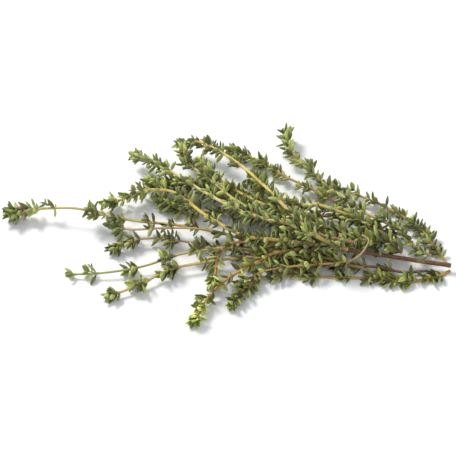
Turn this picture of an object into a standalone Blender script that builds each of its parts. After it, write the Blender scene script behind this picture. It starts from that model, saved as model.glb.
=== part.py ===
"""A loose bundle of fresh thyme lying on a flat surface.

Metres in Blender, +Z up. Every size below is in millimetres, on the plan of the bundle as it lies:
X runs along the bundle towards the cut ends, Y across it, and Z is the height over the surface.
The origin is under the middle of the bundle's box, at the surface.
"""

import math
import random

import bpy
import numpy as np

MM = 0.001
UP = np.array((0.0, 0.0, 1.0))

# The plan's own zero is not under the middle of the box, so every piece is shifted by this much.
PLAN_SHIFT = (3.4, -7.1)

# Stems
ROUTE_STEP = 1.0
# A square stem's corner is this many half widths from its middle.
CORNER = math.sqrt(2)
# How a stem is bent clear of those laid before it: their gap, how far each lift spreads along it, the extra
# lift of each round and the rounds. It dives under only what is this much above it.
STEM_GAP = 0.45
LIFT_SPREAD = 7.0
LIFT_MORE = 0.05
LIFT_ROUNDS = 40
UNDER = 0.4
# Rings of a stem: the longest stretch and the largest turn between two, and the shortest last stretch.
RING_REACH = 12.0
RING_TURN = math.radians(10)
RING_LAST = 2.0
# What is lower than this is pressed flat onto the surface.
FLAT_UNDER = 0.06

# The lowest sprig has this seed: it lies flat on a face of its square stem, and the others are twisted by
# this many degrees for each seed, within a quarter turn.
FIRST_SEED = 11
SEED_TWIST = 37
# The side branch of the long left sprig
SIDE_HALF = 0.46
SIDE_TUFTS = (0, 3.5, 17, 25)
SIDE_BARE = 6.0

# Leaves
LEAF_LENGTH = 5.6
LEAF_WIDTH = 0.48
LEAF_GAP = 0.2
OWN_LEAF_SHARE = 0.9
SMALL_LEAF_SHARE = 0.25
SMALL_LEAF_AHEAD = 1.0
YOUNG_REACH = 14.0
LAST_ROOT = 0.3
FLOOR_GAP = 0.05
MARGIN_RISE = 0.22
KEEL_DEPTH = 0.66
# Sections of a blade: share of its length, share of its full section
BLADE_SECTIONS = ((0.0, 0.16), (0.38, 1.0), (0.74, 0.8))
# The balls that keep a leaf clear of its neighbours: share of its length, share of its half width
LEAF_BALLS = (
    (0.18, 0.0), (0.36, 0.0), (0.36, -0.6), (0.36, 0.6),
    (0.56, 0.0), (0.56, -0.6), (0.56, 0.6), (0.76, -0.4), (0.76, 0.4), (0.92, 0.0),
)
LEAF_BALL = 0.56
FIRST_OUTER_BALL = 2

# What a leaf tries when its place is taken: turn round the stem, lean towards it, share of its length
TRIES = (
    (0, 0, 1.0),
    (22, 0, 1.0),
    (-22, 0, 1.0),
    (0, -18, 1.0),
    (40, -10, 0.95),
    (-40, -10, 0.95),
    (0, -34, 0.9),
    (65, -20, 0.85),
    (-65, -20, 0.85),
    (0, 20, 0.8),
    (90, -25, 0.8),
    (-90, -25, 0.8),
)
# A leaf that would reach the surface is turned up by this much, at most this often.
FLOOR_NUDGES = 9
FLOOR_NUDGE = 0.16
# Only what is this near to a leaf is looked at, beyond its own length.
NEAR = 4.0

GREEN = (0.13, 0.2, 0.06)
DARK_GREEN = (0.09, 0.15, 0.05)
BRIGHT_GREEN = (0.22, 0.33, 0.07)
WOODY_GREEN = (0.14, 0.16, 0.07)


class Sprig:
    """One leafy stem: its route from the cut end to the tip, and where its leaf tufts sit."""

    def __init__(self, name, seed, route, tufts, pitch, thick, thin, colour, leaf=1.0, bare=6.0, side=None):
        self.name = name
        self.twist = math.radians((seed * SEED_TWIST) % 90) if seed > FIRST_SEED else 0.0
        self.seed = seed
        self.route = route
        self.tufts = tufts
        self.pitch = pitch
        self.thick = thick
        self.thin = thin
        self.colour = colour
        self.leaf = leaf
        self.bare = bare
        self.side = side


# From the lowest to the highest in the heap. Tufts are distances back from the tip; past the last one
# listed they follow every pitch, up to the bare length at the cut end.
SPRIGS = (
    Sprig(
        "sprig_front_low", 11,
        ((92, -16, 0.8), (87.5, -18.5, 0), (79, -21, 0), (60, -20, 0), (36, -19, 0), (26, -18.5, 0.8),
         (13, -21, 2.2), (6, -26.5, 3), (0.5, -34, 2.6)),
        (0, 3.5, 7, 13, 17, 27, 35, 42, 55, 65, 70, 75, 83, 90), 8.0, 0.62, 0.46, GREEN, bare=4,
    ),
    Sprig(
        "sprig_left_purple", 12,
        ((82.5, -16.5, 1.4), (71.5, -17.5, 1.8), (63.5, -15.5, 2), (30, -13.5, 2), (14, -11, 2.6), (-2.5, -6, 3.2),
         (-20, -3, 4.4), (-33, -1.5, 4.8), (-44.5, -3, 4), (-49.5, -6, 3.4)),
        (0, 4, 11, 20, 24.5, 40, 46, 56, 66, 76, 87, 98, 108, 119), 10.0, 0.6, 0.46, DARK_GREEN, bare=8,
    ),
    Sprig(
        "sprig_right_edge", 13,
        ((90.5, -11, 1.2), (87, -5.5, 1.6), (82.5, 4, 2.2), (75, 11.5, 3), (64, 19.5, 3.4), (50.5, 26.5, 3.4),
         (44.5, 29.5, 3.2)),
        (0, 4, 7.5, 13, 22, 26, 32, 40, 45, 52, 57), 7.0, 0.58, 0.46, GREEN, bare=4,
    ),
    Sprig(
        "sprig_top_dark", 14,
        ((71, 0.5, 2.2), (60.5, 7, 2.8), (50.5, 15, 3.6), (35, 26.5, 5), (23.5, 34, 5), (15, 42.5, 4),
         (10, 45.5, 4), (1, 50.5, 3.4)),
        (0, 3, 6, 9, 14, 17, 23, 26, 42, 51, 60, 69), 9.0, 0.6, 0.46, DARK_GREEN, leaf=0.95, bare=8,
    ),
    Sprig(
        "sprig_inner_back", 15,
        ((66.5, 2, 4.6), (54, 7, 5), (41.5, 10.5, 5), (31, 11.5, 5), (18, 18, 4.4), (7.5, 23, 4),
         (-3.5, 25.5, 3.6)),
        (0, 4, 9), 9.0, 0.58, 0.46, GREEN, bare=8,
    ),
    Sprig(
        "sprig_inner_low", 16,
        ((64, -5, 3.6), (49.5, 0.5, 4), (20, 10.5, 4), (9.5, 14, 3.8), (-1.5, 14, 3.8), (-23, 17.5, 3.6),
         (-30.5, 21, 3.4)),
        (0, 4, 9), 9.0, 0.6, 0.46, DARK_GREEN, bare=8,
    ),
    Sprig(
        "sprig_left_front", 17,
        ((55, -17, 3.9), (38.5, -13.5, 3.8), (24, -11.5, 3.8), (5, -12, 4.4), (-11.5, -14.5, 4.4), (-26, -18, 4),
         (-38, -25, 3), (-50, -30.5, 2.4)),
        (0, 3.5, 14, 17, 28, 31, 43, 48, 60), 10.0, 0.6, 0.46, DARK_GREEN, leaf=1.08, bare=8,
    ),
    Sprig(
        "sprig_left_thin", 18,
        ((48.5, -14.5, 5.2), (30, -12, 5.4), (14, -9.5, 5.6), (-2.5, -8, 6.2), (-9.5, -9, 6.2), (-21.5, -11, 5.6),
         (-36.5, -16, 4), (-54.5, -19, 3), (-66.5, -19, 2)),
        (0.5, 10, 27, 40, 43.5, 55, 60, 70), 10.0, 0.56, 0.42, BRIGHT_GREEN, leaf=1.08, bare=10,
    ),
    Sprig(
        "sprig_far_left", 19,
        ((45, -11, 3), (30, -8, 3.4), (12.5, -4, 3.8), (-5.5, 1.5, 5), (-23.5, 4.5, 6.4), (-39.5, 6, 7),
         (-55.5, 8.5, 8.6), (-66.5, 11.5, 9), (-78.5, 13, 7.4), (-88.5, 13.5, 5.6), (-96, 13, 4.6)),
        (0, 3, 6, 9, 12.5, 20, 35, 39, 51, 64, 72, 83), 11.0, 0.66, 0.46, GREEN, bare=8,
        side=((-9.5, 2.5, 5.4), (-16, 2, 7), (-31.5, 1.5, 7.8), (-39.5, 1.5, 7), (-45, 2.5, 6), (-49.5, 5, 5)),
    ),
    Sprig(
        "sprig_front_curl", 20,
        ((55, -4.5, 10.5), (57.5, -7.5, 11), (56, -11, 10), (54, -13.5, 9), (50, -16, 8), (45, -16.5, 7.2),
         (32, -17, 6), (18.5, -18, 4.8), (12.5, -19.5, 4.6), (7.5, -22.5, 4.2), (3.5, -25, 3.6)),
        (0, 4, 12, 22, 31, 36, 46, 50), 60.0, 0.52, 0.44, GREEN, bare=16,
    ),
    Sprig(
        "sprig_top_right", 21,
        ((84, -10.5, 4), (79, -7.5, 4.6), (74.5, -3, 5.6), (72, 0.5, 6.6), (65.5, 5, 7.6), (56.5, 11, 7.6),
         (51.5, 17, 7.4), (42.5, 25.5, 7), (33.5, 37.5, 6.6), (28, 44.5, 6.4), (25, 57, 6.8)),
        (0, 3, 6, 10, 20, 25, 29, 37, 41, 48, 53, 58, 65, 70, 78), 8.0, 0.64, 0.46, GREEN, bare=4,
    ),
    Sprig(
        "sprig_lower_left", 22,
        ((44.5, -12, 6.2), (30, -10.5, 6.8), (23.5, -11, 7), (16, -13, 7), (11.5, -15.5, 6.4), (3.5, -20, 5.6),
         (-5, -26.5, 4.6), (-11, -35, 3.8), (-15, -43, 2.6)),
        (0, 3.5, 8, 12, 16, 21, 26, 31, 37, 44, 52), 9.0, 0.58, 0.46, BRIGHT_GREEN, leaf=1.02, bare=8,
    ),
    Sprig(
        "sprig_woody", 23,
        ((92, -15.5, 2), (81.5, -13.5, 3.2), (64.5, -11.5, 5.4), (50.5, -10, 7), (36, -8.5, 8), (12, -7.5, 8.8),
         (4, -7, 8.8), (-1, -8, 8.6), (-4, -10.5, 8), (-6, -14, 6.8), (-6.5, -19, 5.4), (-7.5, -24.5, 3.6)),
        (0, 3.5, 7.5, 11.5, 15.5, 21, 29, 38, 47, 56, 65), 9.0, 1.0, 0.46, WOODY_GREEN, leaf=1.08, bare=26,
    ),
    Sprig(
        "sprig_inner_right", 24,
        ((71.5, -11.5, 7), (65.5, -7, 7.4), (57.5, -5, 7.8), (47, -1.5, 8.6), (38, 1.5, 9), (30.5, 6, 9)),
        (0, 4, 8, 14, 20, 27, 35), 9.0, 0.56, 0.46, BRIGHT_GREEN, leaf=1.15, bare=6,
    ),
    Sprig(
        "sprig_inner_mid", 25,
        ((64, -1.5, 8), (52, 7.5, 8), (42, 12.5, 7.8), (37, 15, 7.4), (31, 14.5, 6.8), (24.5, 18, 6.6),
         (18, 22.5, 6.2), (9.5, 34, 4.6)),
        (0, 4, 9, 14), 10.0, 0.66, 0.46, GREEN, bare=9,
    ),
    Sprig(
        "sprig_inner_left", 26,
        ((26, 1.5, 6.4), (11.5, 9, 7), (-1.5, 18, 7.2), (-18.5, 26.5, 7.6), (-25.5, 28.5, 7.4), (-35, 29.5, 6)),
        (0, 4, 8, 12, 17), 9.0, 0.56, 0.46, GREEN, bare=6,
    ),
    Sprig(
        "sprig_inner_top", 27,
        ((41, -1.5, 7.4), (30.5, 2.5, 8), (18, 11, 8.6), (1.5, 22.5, 8.6), (-4, 27.5, 8.6), (-13, 39, 7.6)),
        (0, 4, 8, 13, 22), 11.0, 0.64, 0.46, GREEN, bare=7,
    ),
    Sprig(
        "sprig_left_arch", 28,
        ((40, -9.5, 10.2), (30, -9, 10.4), (17.5, -7.5, 10.8), (5, -5.5, 10.8), (-0.5, -2, 10.8), (-11, 6.5, 10.4),
         (-28, 21.5, 9.4), (-33.5, 22.5, 8.8), (-39, 22.5, 7.6), (-49, 19, 5.6), (-53.5, 18, 4.8)),
        (0, 4.5, 10, 16, 20, 26, 36, 41, 57, 68, 80), 11.0, 0.66, 0.46, GREEN, bare=8,
    ),
    Sprig(
        "sprig_top_middle", 29,
        ((34.5, -10.5, 12.4), (30, -7.5, 12), (17.5, 2, 11.4), (9.5, 9, 11.2), (3.5, 13, 11.2), (-10, 27, 11),
         (-18, 36, 10.4), (-20.5, 42, 10), (-21.5, 48, 9.2)),
        (0, 3.5, 7, 11, 15, 24, 36, 47, 59), 12.0, 0.64, 0.46, DARK_GREEN, bare=6,
    ),
    Sprig(
        "sprig_top_left", 30,
        ((51.5, -9, 10.6), (38, -6.5, 12), (28.5, -4.5, 13), (24, -1.5, 13.4), (15.5, 1, 13.4), (4, 7, 12.6),
         (-13.5, 20, 11.6), (-27.5, 32.5, 10.4), (-32, 36, 9.6), (-42.5, 44, 7.6)),
        (0, 3.5, 8, 12, 16, 20, 34, 45, 56, 68, 80), 12.0, 0.68, 0.46, GREEN, bare=10,
    ),
    Sprig(
        "sprig_top_long", 31,
        ((48, -14.5, 12.6), (37, -10.5, 14.4), (28.5, -1.5, 14.4), (24.5, 5, 14), (13, 22.5, 13), (1.5, 36.5, 12),
         (-9.5, 47, 10.4), (-13.5, 50, 9.8), (-22.5, 50.5, 8.4)),
        (0, 4, 8, 14, 17, 22, 33, 48, 61, 74), 12.0, 0.72, 0.48, GREEN, bare=8,
    ),
)


def unit(vector):
    return vector / np.linalg.norm(vector)


def smooth_route(points):
    """Places about ROUTE_STEP apart on a smooth curve through the points."""
    points = np.array(points, float)
    steps = np.diff(points, axis=0)
    lengths = np.linalg.norm(steps, axis=1)
    slopes = steps / lengths[:, None]
    ahead, behind = lengths[1:, None], lengths[:-1, None]
    inner = (slopes[1:] * behind + slopes[:-1] * ahead) / (ahead + behind)
    tangents = np.vstack([slopes[:1], inner, slopes[-1:]])
    rows = []
    for i, length in enumerate(lengths):
        count = max(2, round(length / ROUTE_STEP))
        t = (np.arange(count) / count)[:, None]
        rows.append(
            (2 * t**3 - 3 * t**2 + 1) * points[i]
            + (t**3 - 2 * t**2 + t) * length * tangents[i]
            + (3 * t**2 - 2 * t**3) * points[i + 1]
            + (t**3 - t**2) * length * tangents[i + 1]
        )
    return np.vstack(rows + [points[-1:]])


def lifted(places, halves, laid):
    """The route bent clear of the surface and of the stems laid before it."""
    places = places.copy()
    numbers = np.arange(len(places))
    near = np.exp(-0.5 * ((numbers[:, None] - numbers) * ROUTE_STEP / LIFT_SPREAD) ** 2)
    for _ in range(LIFT_ROUNDS):
        places[:, 2] = np.maximum(places[:, 2], halves)
        if not len(laid):
            break
        away = places[:, None, :] - laid[None, :, :3]
        needed = halves[:, None] * CORNER + laid[None, :, 3] + STEM_GAP
        short = needed - np.linalg.norm(away, axis=2)
        side = np.where(away[:, :, 2] > -UNDER, 1.0, -1.0)
        push = np.where(short > 0, side * (short + LIFT_MORE), 0)
        worst = push[np.arange(len(push)), np.abs(push).argmax(axis=1)]
        if not np.abs(worst).any():
            break
        spread = near * worst[None, :]
        places[:, 2] += spread[np.arange(len(spread)), np.abs(spread).argmax(axis=1)]
    return places


class Stem:
    """A tapering stem along its route, from the cut end to the tip."""

    def __init__(self, route, thick, thin, twist, laid):
        self.twist = twist
        places = smooth_route(route)
        self.halves = np.linspace(thick, thin, len(places))
        self.places = lifted(places, self.halves, laid)
        gaps = np.linalg.norm(np.diff(self.places, axis=0), axis=1)
        self.along = np.concatenate([[0.0], np.cumsum(gaps)])
        self.length = self.along[-1]
        ahead = np.diff(np.vstack([self.places, 2 * self.places[-1] - self.places[-2]]), axis=0)
        behind = np.vstack([ahead[:1], ahead[:-1]])
        self.tangents = np.array([unit(t) for t in ahead + behind])

    def at(self, from_tip):
        """Place and tangent towards the tip, at a distance back from the tip."""
        at = self.length - from_tip
        place = np.array([np.interp(at, self.along, self.places[:, k]) for k in range(3)])
        toward = np.array([np.interp(at, self.along, self.tangents[:, k]) for k in range(3)])
        return place, unit(toward)

    def sides(self, toward):
        """The two directions that the square section's faces look in."""
        side = unit(np.cross(toward, UP))
        up = np.cross(side, toward)
        c, s = math.cos(self.twist), math.sin(self.twist)
        return c * side + s * up, c * up - s * side

    def balls(self):
        return np.column_stack([self.places, self.halves * CORNER])


class Leaf:
    """One blade: where it is rooted, which way it grows and faces, and its size."""

    def __init__(self, root, along, face, length, recurve):
        self.root = root
        self.along = unit(along)
        self.face = unit(face - self.along * (face @ self.along))
        self.across = np.cross(self.along, self.face)
        self.length = length
        self.half = 0.5 * LEAF_WIDTH * length
        self.recurve = recurve

    def centre(self, share):
        return self.root + self.length * (self.along * share - self.face * self.recurve * share * share)

    def corners(self):
        """Two margins and a keel for each section, then the tip."""
        rows = []
        for share, size in BLADE_SECTIONS:
            centre = self.centre(share)
            margin = self.face * MARGIN_RISE * size
            rows.append(centre + margin + self.across * self.half * size)
            rows.append(centre + margin - self.across * self.half * size)
            rows.append(centre - self.face * KEEL_DEPTH * size)
        rows.append(self.centre(1.0))
        return np.array(rows)

    def balls(self):
        middle = self.face * 0.5 * (MARGIN_RISE - KEEL_DEPTH)
        return np.array([
            (*(self.centre(share) + middle + self.across * self.half * aside), LEAF_BALL)
            for share, aside in LEAF_BALLS
        ])

    def lowest(self):
        return self.corners()[3:, 2].min()


def leaf_at(stem, from_tip, turn, lean, roll, length, recurve):
    """A leaf that leaves the stem at an angle, with its upper side towards the stem's tip."""
    root, toward = stem.at(from_tip)
    side, up = stem.sides(toward)
    out = math.cos(turn) * up + math.sin(turn) * side
    along = math.cos(lean) * toward + math.sin(lean) * out
    face = math.sin(lean) * toward - math.cos(lean) * out
    face = math.cos(roll) * face + math.sin(roll) * np.cross(along, face)
    leaf = Leaf(root, along, face, length, recurve)
    for _ in range(FLOOR_NUDGES):
        if leaf.lowest() >= FLOOR_GAP:
            break
        leaf = Leaf(root, leaf.along + UP * FLOOR_NUDGE, leaf.face, length, recurve)
    return leaf


class Heap:
    """Every ball that is taken so far, with the number of the sprig that it belongs to."""

    def __init__(self):
        self.stems = np.zeros((0, 5))
        self.leaves = np.zeros((0, 5))

    def add_stem(self, owner, balls):
        self.stems = np.vstack([self.stems, np.column_stack([balls, np.full(len(balls), owner)])])

    def add_leaf(self, owner, leaf):
        balls = leaf.balls()
        self.leaves = np.vstack([self.leaves, np.column_stack([balls, np.full(len(balls), owner)])])

    def has_room(self, owner, leaf):
        balls = leaf.balls()
        taken = np.vstack([self.stems, self.leaves])
        reach = leaf.length + NEAR
        taken = taken[(np.abs(taken[:, :3] - leaf.root) < reach).all(axis=1)]
        others = taken[taken[:, 4] != owner]
        gaps = np.linalg.norm(balls[:, None, :3] - others[None, :, :3], axis=2)
        if (gaps < balls[:, None, 3] + others[None, :, 3] + LEAF_GAP).any():
            return False
        own = self.leaves[self.leaves[:, 4] == owner]
        own = own[(np.abs(own[:, :3] - leaf.root) < reach).all(axis=1)]
        outer = balls[FIRST_OUTER_BALL:]
        gaps = np.linalg.norm(outer[:, None, :3] - own[None, :, :3], axis=2)
        return not (gaps < OWN_LEAF_SHARE * (outer[:, None, 3] + own[None, :, 3])).any()


def tuft_places(listed, pitch, length, bare):
    """Distances back from the tip of every tuft on a stem."""
    places = [d for d in listed if d < length - bare]
    while places[-1] + pitch < length - bare:
        places.append(places[-1] + pitch)
    return places


def tuft_leaves(sprig, number, from_tip, along_stem):
    """The leaf pair of a tuft, crosswise to the next pair, and the small leaves between the two."""
    draw = random.Random(sprig.seed * 1009 + number * 31 + along_stem)
    young = max(0.0, 1.0 - from_tip / YOUNG_REACH)
    turn = number * 90 + draw.uniform(-14, 14)
    wanted = []
    for half_turn in (0, 180):
        lean = draw.uniform(50, 74) - 26 * young
        size = draw.uniform(0.86, 1.12) * (1 - 0.2 * young)
        wanted.append((turn + half_turn, lean, size, 0.0))
    for quarter_turn in (90, 270):
        lean = draw.uniform(26, 46) - 10 * young
        size = draw.uniform(0.6, 0.84)
        if number == 0 or draw.random() < SMALL_LEAF_SHARE:
            wanted.append((turn + quarter_turn, lean, size, SMALL_LEAF_AHEAD))
    for turn, lean, size, ahead in wanted:
        roll = draw.uniform(-16, 16)
        recurve = draw.uniform(0.04, 0.2) * (1 - young)
        yield max(LAST_ROOT, from_tip - ahead), turn, lean, roll, sprig.leaf * size * LEAF_LENGTH, recurve


def placed(heap, owner, stem, from_tip, turn, lean, roll, length, recurve):
    """The first of a leaf's tries that has room, or none."""
    for more_turn, more_lean, share in TRIES:
        leaf = leaf_at(
            stem, from_tip, math.radians(turn + more_turn), math.radians(lean + more_lean),
            math.radians(roll), length * share, recurve,
        )
        if leaf.lowest() >= FLOOR_GAP and heap.has_room(owner, leaf):
            return leaf
    return None


def grow_bundle():
    """Lays the stems one after another, then grows the leaves where there is room."""
    heap = Heap()
    grown = []
    for owner, sprig in enumerate(SPRIGS):
        laid = heap.stems[:, :4]
        stems = [Stem(sprig.route, sprig.thick, sprig.thin, sprig.twist, laid)]
        if sprig.side:
            stems.append(Stem(sprig.side, SIDE_HALF, sprig.thin, sprig.twist, laid))
        for stem in stems:
            heap.add_stem(owner, stem.balls())
        grown.append((sprig, stems, []))
    for owner, (sprig, stems, leaves) in enumerate(grown):
        for along_stem, stem in enumerate(stems):
            listed = sprig.tufts if along_stem == 0 else SIDE_TUFTS
            bare = sprig.bare if along_stem == 0 else SIDE_BARE
            for number, tuft in enumerate(tuft_places(listed, sprig.pitch, stem.length, bare)):
                for wanted in tuft_leaves(sprig, number, tuft, along_stem):
                    leaf = placed(heap, owner, stem, *wanted)
                    if leaf:
                        heap.add_leaf(owner, leaf)
                        leaves.append(leaf)
    return grown


def new_object(name, vertices, faces, collection):
    mesh = bpy.data.meshes.new(name)
    shifted = np.array(vertices, float) + (*PLAN_SHIFT, 0.0)
    mesh.from_pydata((shifted * MM).tolist(), [], faces)
    mesh.validate()
    made = bpy.data.objects.new(name, mesh)
    collection.objects.link(made)
    return made


def ring_numbers(stem):
    """Which places of a route carry a ring: close where it bends, far apart where it is straight."""
    numbers = [0]
    for i in range(1, len(stem.places) - 1):
        last = numbers[-1]
        turned = math.acos(max(-1.0, min(1.0, float(stem.tangents[last] @ stem.tangents[i]))))
        if stem.along[i] - stem.along[last] > RING_REACH or turned > RING_TURN:
            numbers.append(i)
    if stem.length - stem.along[numbers[-1]] < RING_LAST and len(numbers) > 2:
        numbers.pop()
    return numbers + [len(stem.places) - 1]


def stem_solid(name, stem, collection):
    """A square stem, as thyme has, flat underneath where it lies on the surface."""
    vertices, faces = [], []
    numbers = ring_numbers(stem)
    for i in numbers:
        side, up = stem.sides(stem.tangents[i])
        for a, b in ((1, 1), (-1, 1), (-1, -1), (1, -1)):
            corner = stem.places[i] + stem.halves[i] * (a * side + b * up)
            if corner[2] < FLAT_UNDER:
                corner[2] = 0.0
            vertices.append(corner)
    for k in range(len(numbers) - 1):
        for j in range(4):
            a, b = 4 * k + j, 4 * k + (j + 1) % 4
            faces.append((a, b, b + 4, a + 4))
    last = 4 * (len(numbers) - 1)
    faces.append((3, 2, 1, 0))
    faces.append((last, last + 1, last + 2, last + 3))
    return new_object(name, vertices, faces, collection)


def leaf_solid(name, leaf, collection):
    """A blade with a flat upper side and a keel below, rooted inside the stem."""
    faces = [(0, 1, 2)]
    for first in (0, 3):
        for j in range(3):
            a, b = first + j, first + (j + 1) % 3
            faces.append((a, a + 3, b + 3, b))
    faces += [(6, 9, 7), (7, 9, 8), (8, 9, 6)]
    return new_object(name, leaf.corners(), faces, collection)


def material_of(name, colour):
    material = bpy.data.materials.new(name)
    material.use_nodes = True
    shader = material.node_tree.nodes["Principled BSDF"]
    shader.inputs["Base Color"].default_value = (*colour, 1.0)
    shader.inputs["Roughness"].default_value = 0.6
    shader.inputs["Metallic"].default_value = 0.0
    return material


def fused(whole, parts):
    """The stem joined with its side stems and leaves by one Boolean union, which is then applied."""
    union = whole.modifiers.new("join_leaves", "BOOLEAN")
    union.operation = "UNION"
    union.solver = "EXACT"
    union.operand_type = "COLLECTION"
    union.collection = parts
    graph = bpy.context.evaluated_depsgraph_get()
    joined = bpy.data.meshes.new_from_object(whole.evaluated_get(graph))
    whole.modifiers.remove(union)
    whole.data = joined
    for piece in list(parts.objects):
        bpy.data.objects.remove(piece)
    bpy.data.collections.remove(parts)


def build_sprig(sprig, stems, leaves):
    scene = bpy.context.scene.collection
    parts = bpy.data.collections.new(sprig.name + "_parts")
    scene.children.link(parts)
    whole = stem_solid(sprig.name, stems[0], scene)
    for stem in stems[1:]:
        stem_solid(sprig.name + "_side", stem, parts)
    for leaf in leaves:
        leaf_solid(sprig.name + "_leaf", leaf, parts)
    fused(whole, parts)
    whole.data.name = sprig.name
    whole.data.materials.clear()
    whole.data.materials.append(material_of(sprig.name, sprig.colour))


def main():
    for piece in list(bpy.data.objects):
        bpy.data.objects.remove(piece)
    for sprig, stems, leaves in grow_bundle():
        build_sprig(sprig, stems, leaves)


main()
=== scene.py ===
"""How the thyme bundle looks: thin leaves and fine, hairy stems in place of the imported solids.

The values, routes and draws below are those of the part's own source, so every leaf of the part is grown
again in the same place as a thin blade. Then the short side shoots and small leaves are added that the part
leaves out. Sizes are millimetres on the plan of the bundle until a mesh is made.
"""

import math
import random
from dataclasses import dataclass

import bpy
import numpy as np
from mathutils import Matrix


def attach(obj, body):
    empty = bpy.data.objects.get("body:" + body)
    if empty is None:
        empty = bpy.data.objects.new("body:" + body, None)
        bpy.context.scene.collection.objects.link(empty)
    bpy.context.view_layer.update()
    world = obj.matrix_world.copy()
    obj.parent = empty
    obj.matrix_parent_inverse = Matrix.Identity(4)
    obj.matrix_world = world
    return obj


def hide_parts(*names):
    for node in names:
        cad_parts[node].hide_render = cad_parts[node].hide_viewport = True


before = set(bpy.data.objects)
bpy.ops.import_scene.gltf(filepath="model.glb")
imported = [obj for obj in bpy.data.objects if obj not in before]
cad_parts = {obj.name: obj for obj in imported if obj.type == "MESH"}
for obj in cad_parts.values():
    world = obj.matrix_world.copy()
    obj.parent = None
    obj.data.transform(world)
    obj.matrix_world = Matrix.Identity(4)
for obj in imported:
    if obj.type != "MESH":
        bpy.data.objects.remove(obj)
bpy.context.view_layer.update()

MM = 0.001
UP = np.array((0.0, 0.0, 1.0))

# The plan's own zero is not under the middle of the box, so every piece is shifted by this much.
PLAN_SHIFT = (3.4, -7.1)

# Stems
ROUTE_STEP = 1.0
# A square stem's corner is this many half widths from its middle.
CORNER = math.sqrt(2)
# How a stem is bent clear of those laid before it: their gap, how far each lift spreads along it, the extra
# lift of each round and the rounds. It dives under only what is this much above it.
STEM_GAP = 0.45
LIFT_SPREAD = 7.0
LIFT_MORE = 0.05
LIFT_ROUNDS = 40
UNDER = 0.4

# The lowest sprig has this seed: it lies flat on a face of its square stem, and the others are twisted by
# this many degrees for each seed, within a quarter turn.
FIRST_SEED = 11
SEED_TWIST = 37
# The side branch of the long left sprig
SIDE_HALF = 0.46
SIDE_TUFTS = (0, 3.5, 17, 25)
SIDE_BARE = 6.0

# Leaves
LEAF_LENGTH = 5.6
LEAF_WIDTH = 0.48
LEAF_GAP = 0.2
OWN_LEAF_SHARE = 0.9
SMALL_LEAF_SHARE = 0.25
SMALL_LEAF_AHEAD = 1.0
YOUNG_REACH = 14.0
LAST_ROOT = 0.3
FLOOR_GAP = 0.05
MARGIN_RISE = 0.22
KEEL_DEPTH = 0.66
# Sections of a blade: share of its length, share of its full section
BLADE_SECTIONS = ((0.0, 0.16), (0.38, 1.0), (0.74, 0.8))
# The balls that keep a leaf clear of its neighbours: share of its length, share of its half width
LEAF_BALLS = (
    (0.18, 0.0), (0.36, 0.0), (0.36, -0.6), (0.36, 0.6),
    (0.56, 0.0), (0.56, -0.6), (0.56, 0.6), (0.76, -0.4), (0.76, 0.4), (0.92, 0.0),
)
LEAF_BALL = 0.56
FIRST_OUTER_BALL = 2

# What a leaf tries when its place is taken: turn round the stem, lean towards it, share of its length
TRIES = (
    (0, 0, 1.0),
    (22, 0, 1.0),
    (-22, 0, 1.0),
    (0, -18, 1.0),
    (40, -10, 0.95),
    (-40, -10, 0.95),
    (0, -34, 0.9),
    (65, -20, 0.85),
    (-65, -20, 0.85),
    (0, 20, 0.8),
    (90, -25, 0.8),
    (-90, -25, 0.8),
)
# A leaf that would reach the surface is turned up by this much, at most this often.
FLOOR_NUDGES = 9
FLOOR_NUDGE = 0.16
# Only what is this near to a leaf is looked at, beyond its own length.
NEAR = 4.0

# Thin leaves keep this much room: the size of their balls, the gap to other sprigs, and the share of a
# ball that has to stay clear of the sprig's own leaves
FINE_BALL = 0.32
FINE_GAP = 0.0
FINE_OWN_SHARE = 0.62
# How many tries they get
FINE_TRIES = 6
# How much they turn their upper side to the light
LIGHT_SEEKING = 0.4
# Only what is this near to a tuft is looked at while its leaves are placed.
TUFT_WINDOW = 17.0

# The numbers that start each kind of random draw: for a sprig and a tuft, or for one sprig
TUFT_SEEDS = (1009, 31)
SHOOT_SEEDS = (4001, 53)
TIP_SEED = 2003
PAINT_SEED = 71
SHAPE_SEED = 500


@dataclass
class Kind:
    """What a kind of leaf is drawn from: its lean in degrees and its size as a share of LEAF_LENGTH.

    Also what comes off the lean at the very tip, and how far the leaf curves back.
    """

    lean: tuple
    size: tuple
    young_lean: float = 0.0
    recurve: tuple = (0.04, 0.2)

    def drawn(self, draw, young=0.0):
        return draw.uniform(*self.lean) - self.young_lean * young, draw.uniform(*self.size)


# The leaves of a tuft: its pair, the small ones between, and the single ones beside its shoots
PAIR_LEAF = Kind((50, 74), (0.86, 1.12), 26)
SMALL_LEAF = Kind((26, 46), (0.6, 0.84), 10)
SINGLE_LEAF = Kind((34, 70), (0.56, 0.86), 16)
PAIR_YOUNG_SIZE = 0.2
TURN_SWAY = 14
ROLL = 16
# How far behind their tuft the single ones sit
SINGLE_BACK = (0.2, 0.7)
SINGLE_RECURVE = 0.1
# Side shoots: their lean, how much shorter young ones are, the sway round the stem, the size of their leaves,
# and how far ahead of their tuft they start
SHOOT_LEAN = (26, 44)
SHOOT_YOUNG = 0.5
SHOOT_SWAY = 24
SHOOT_SIZE = (0.78, 1.0)
SHOOT_AHEAD = 0.5
# The leaves at the end of a shoot, and the pair that sits this share of the way down it
SHOOT_ROLL = 20
SHOOT_END_LEAF = Kind((24, 52), (0.66, 0.98), recurve=(0.02, 0.14))
SHOOT_PAIR_LEAF = Kind((44, 66), (0.72, 1.0), recurve=(0.04, 0.16))
SHOOT_PAIR_AT = (0.45, 0.6)
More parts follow.
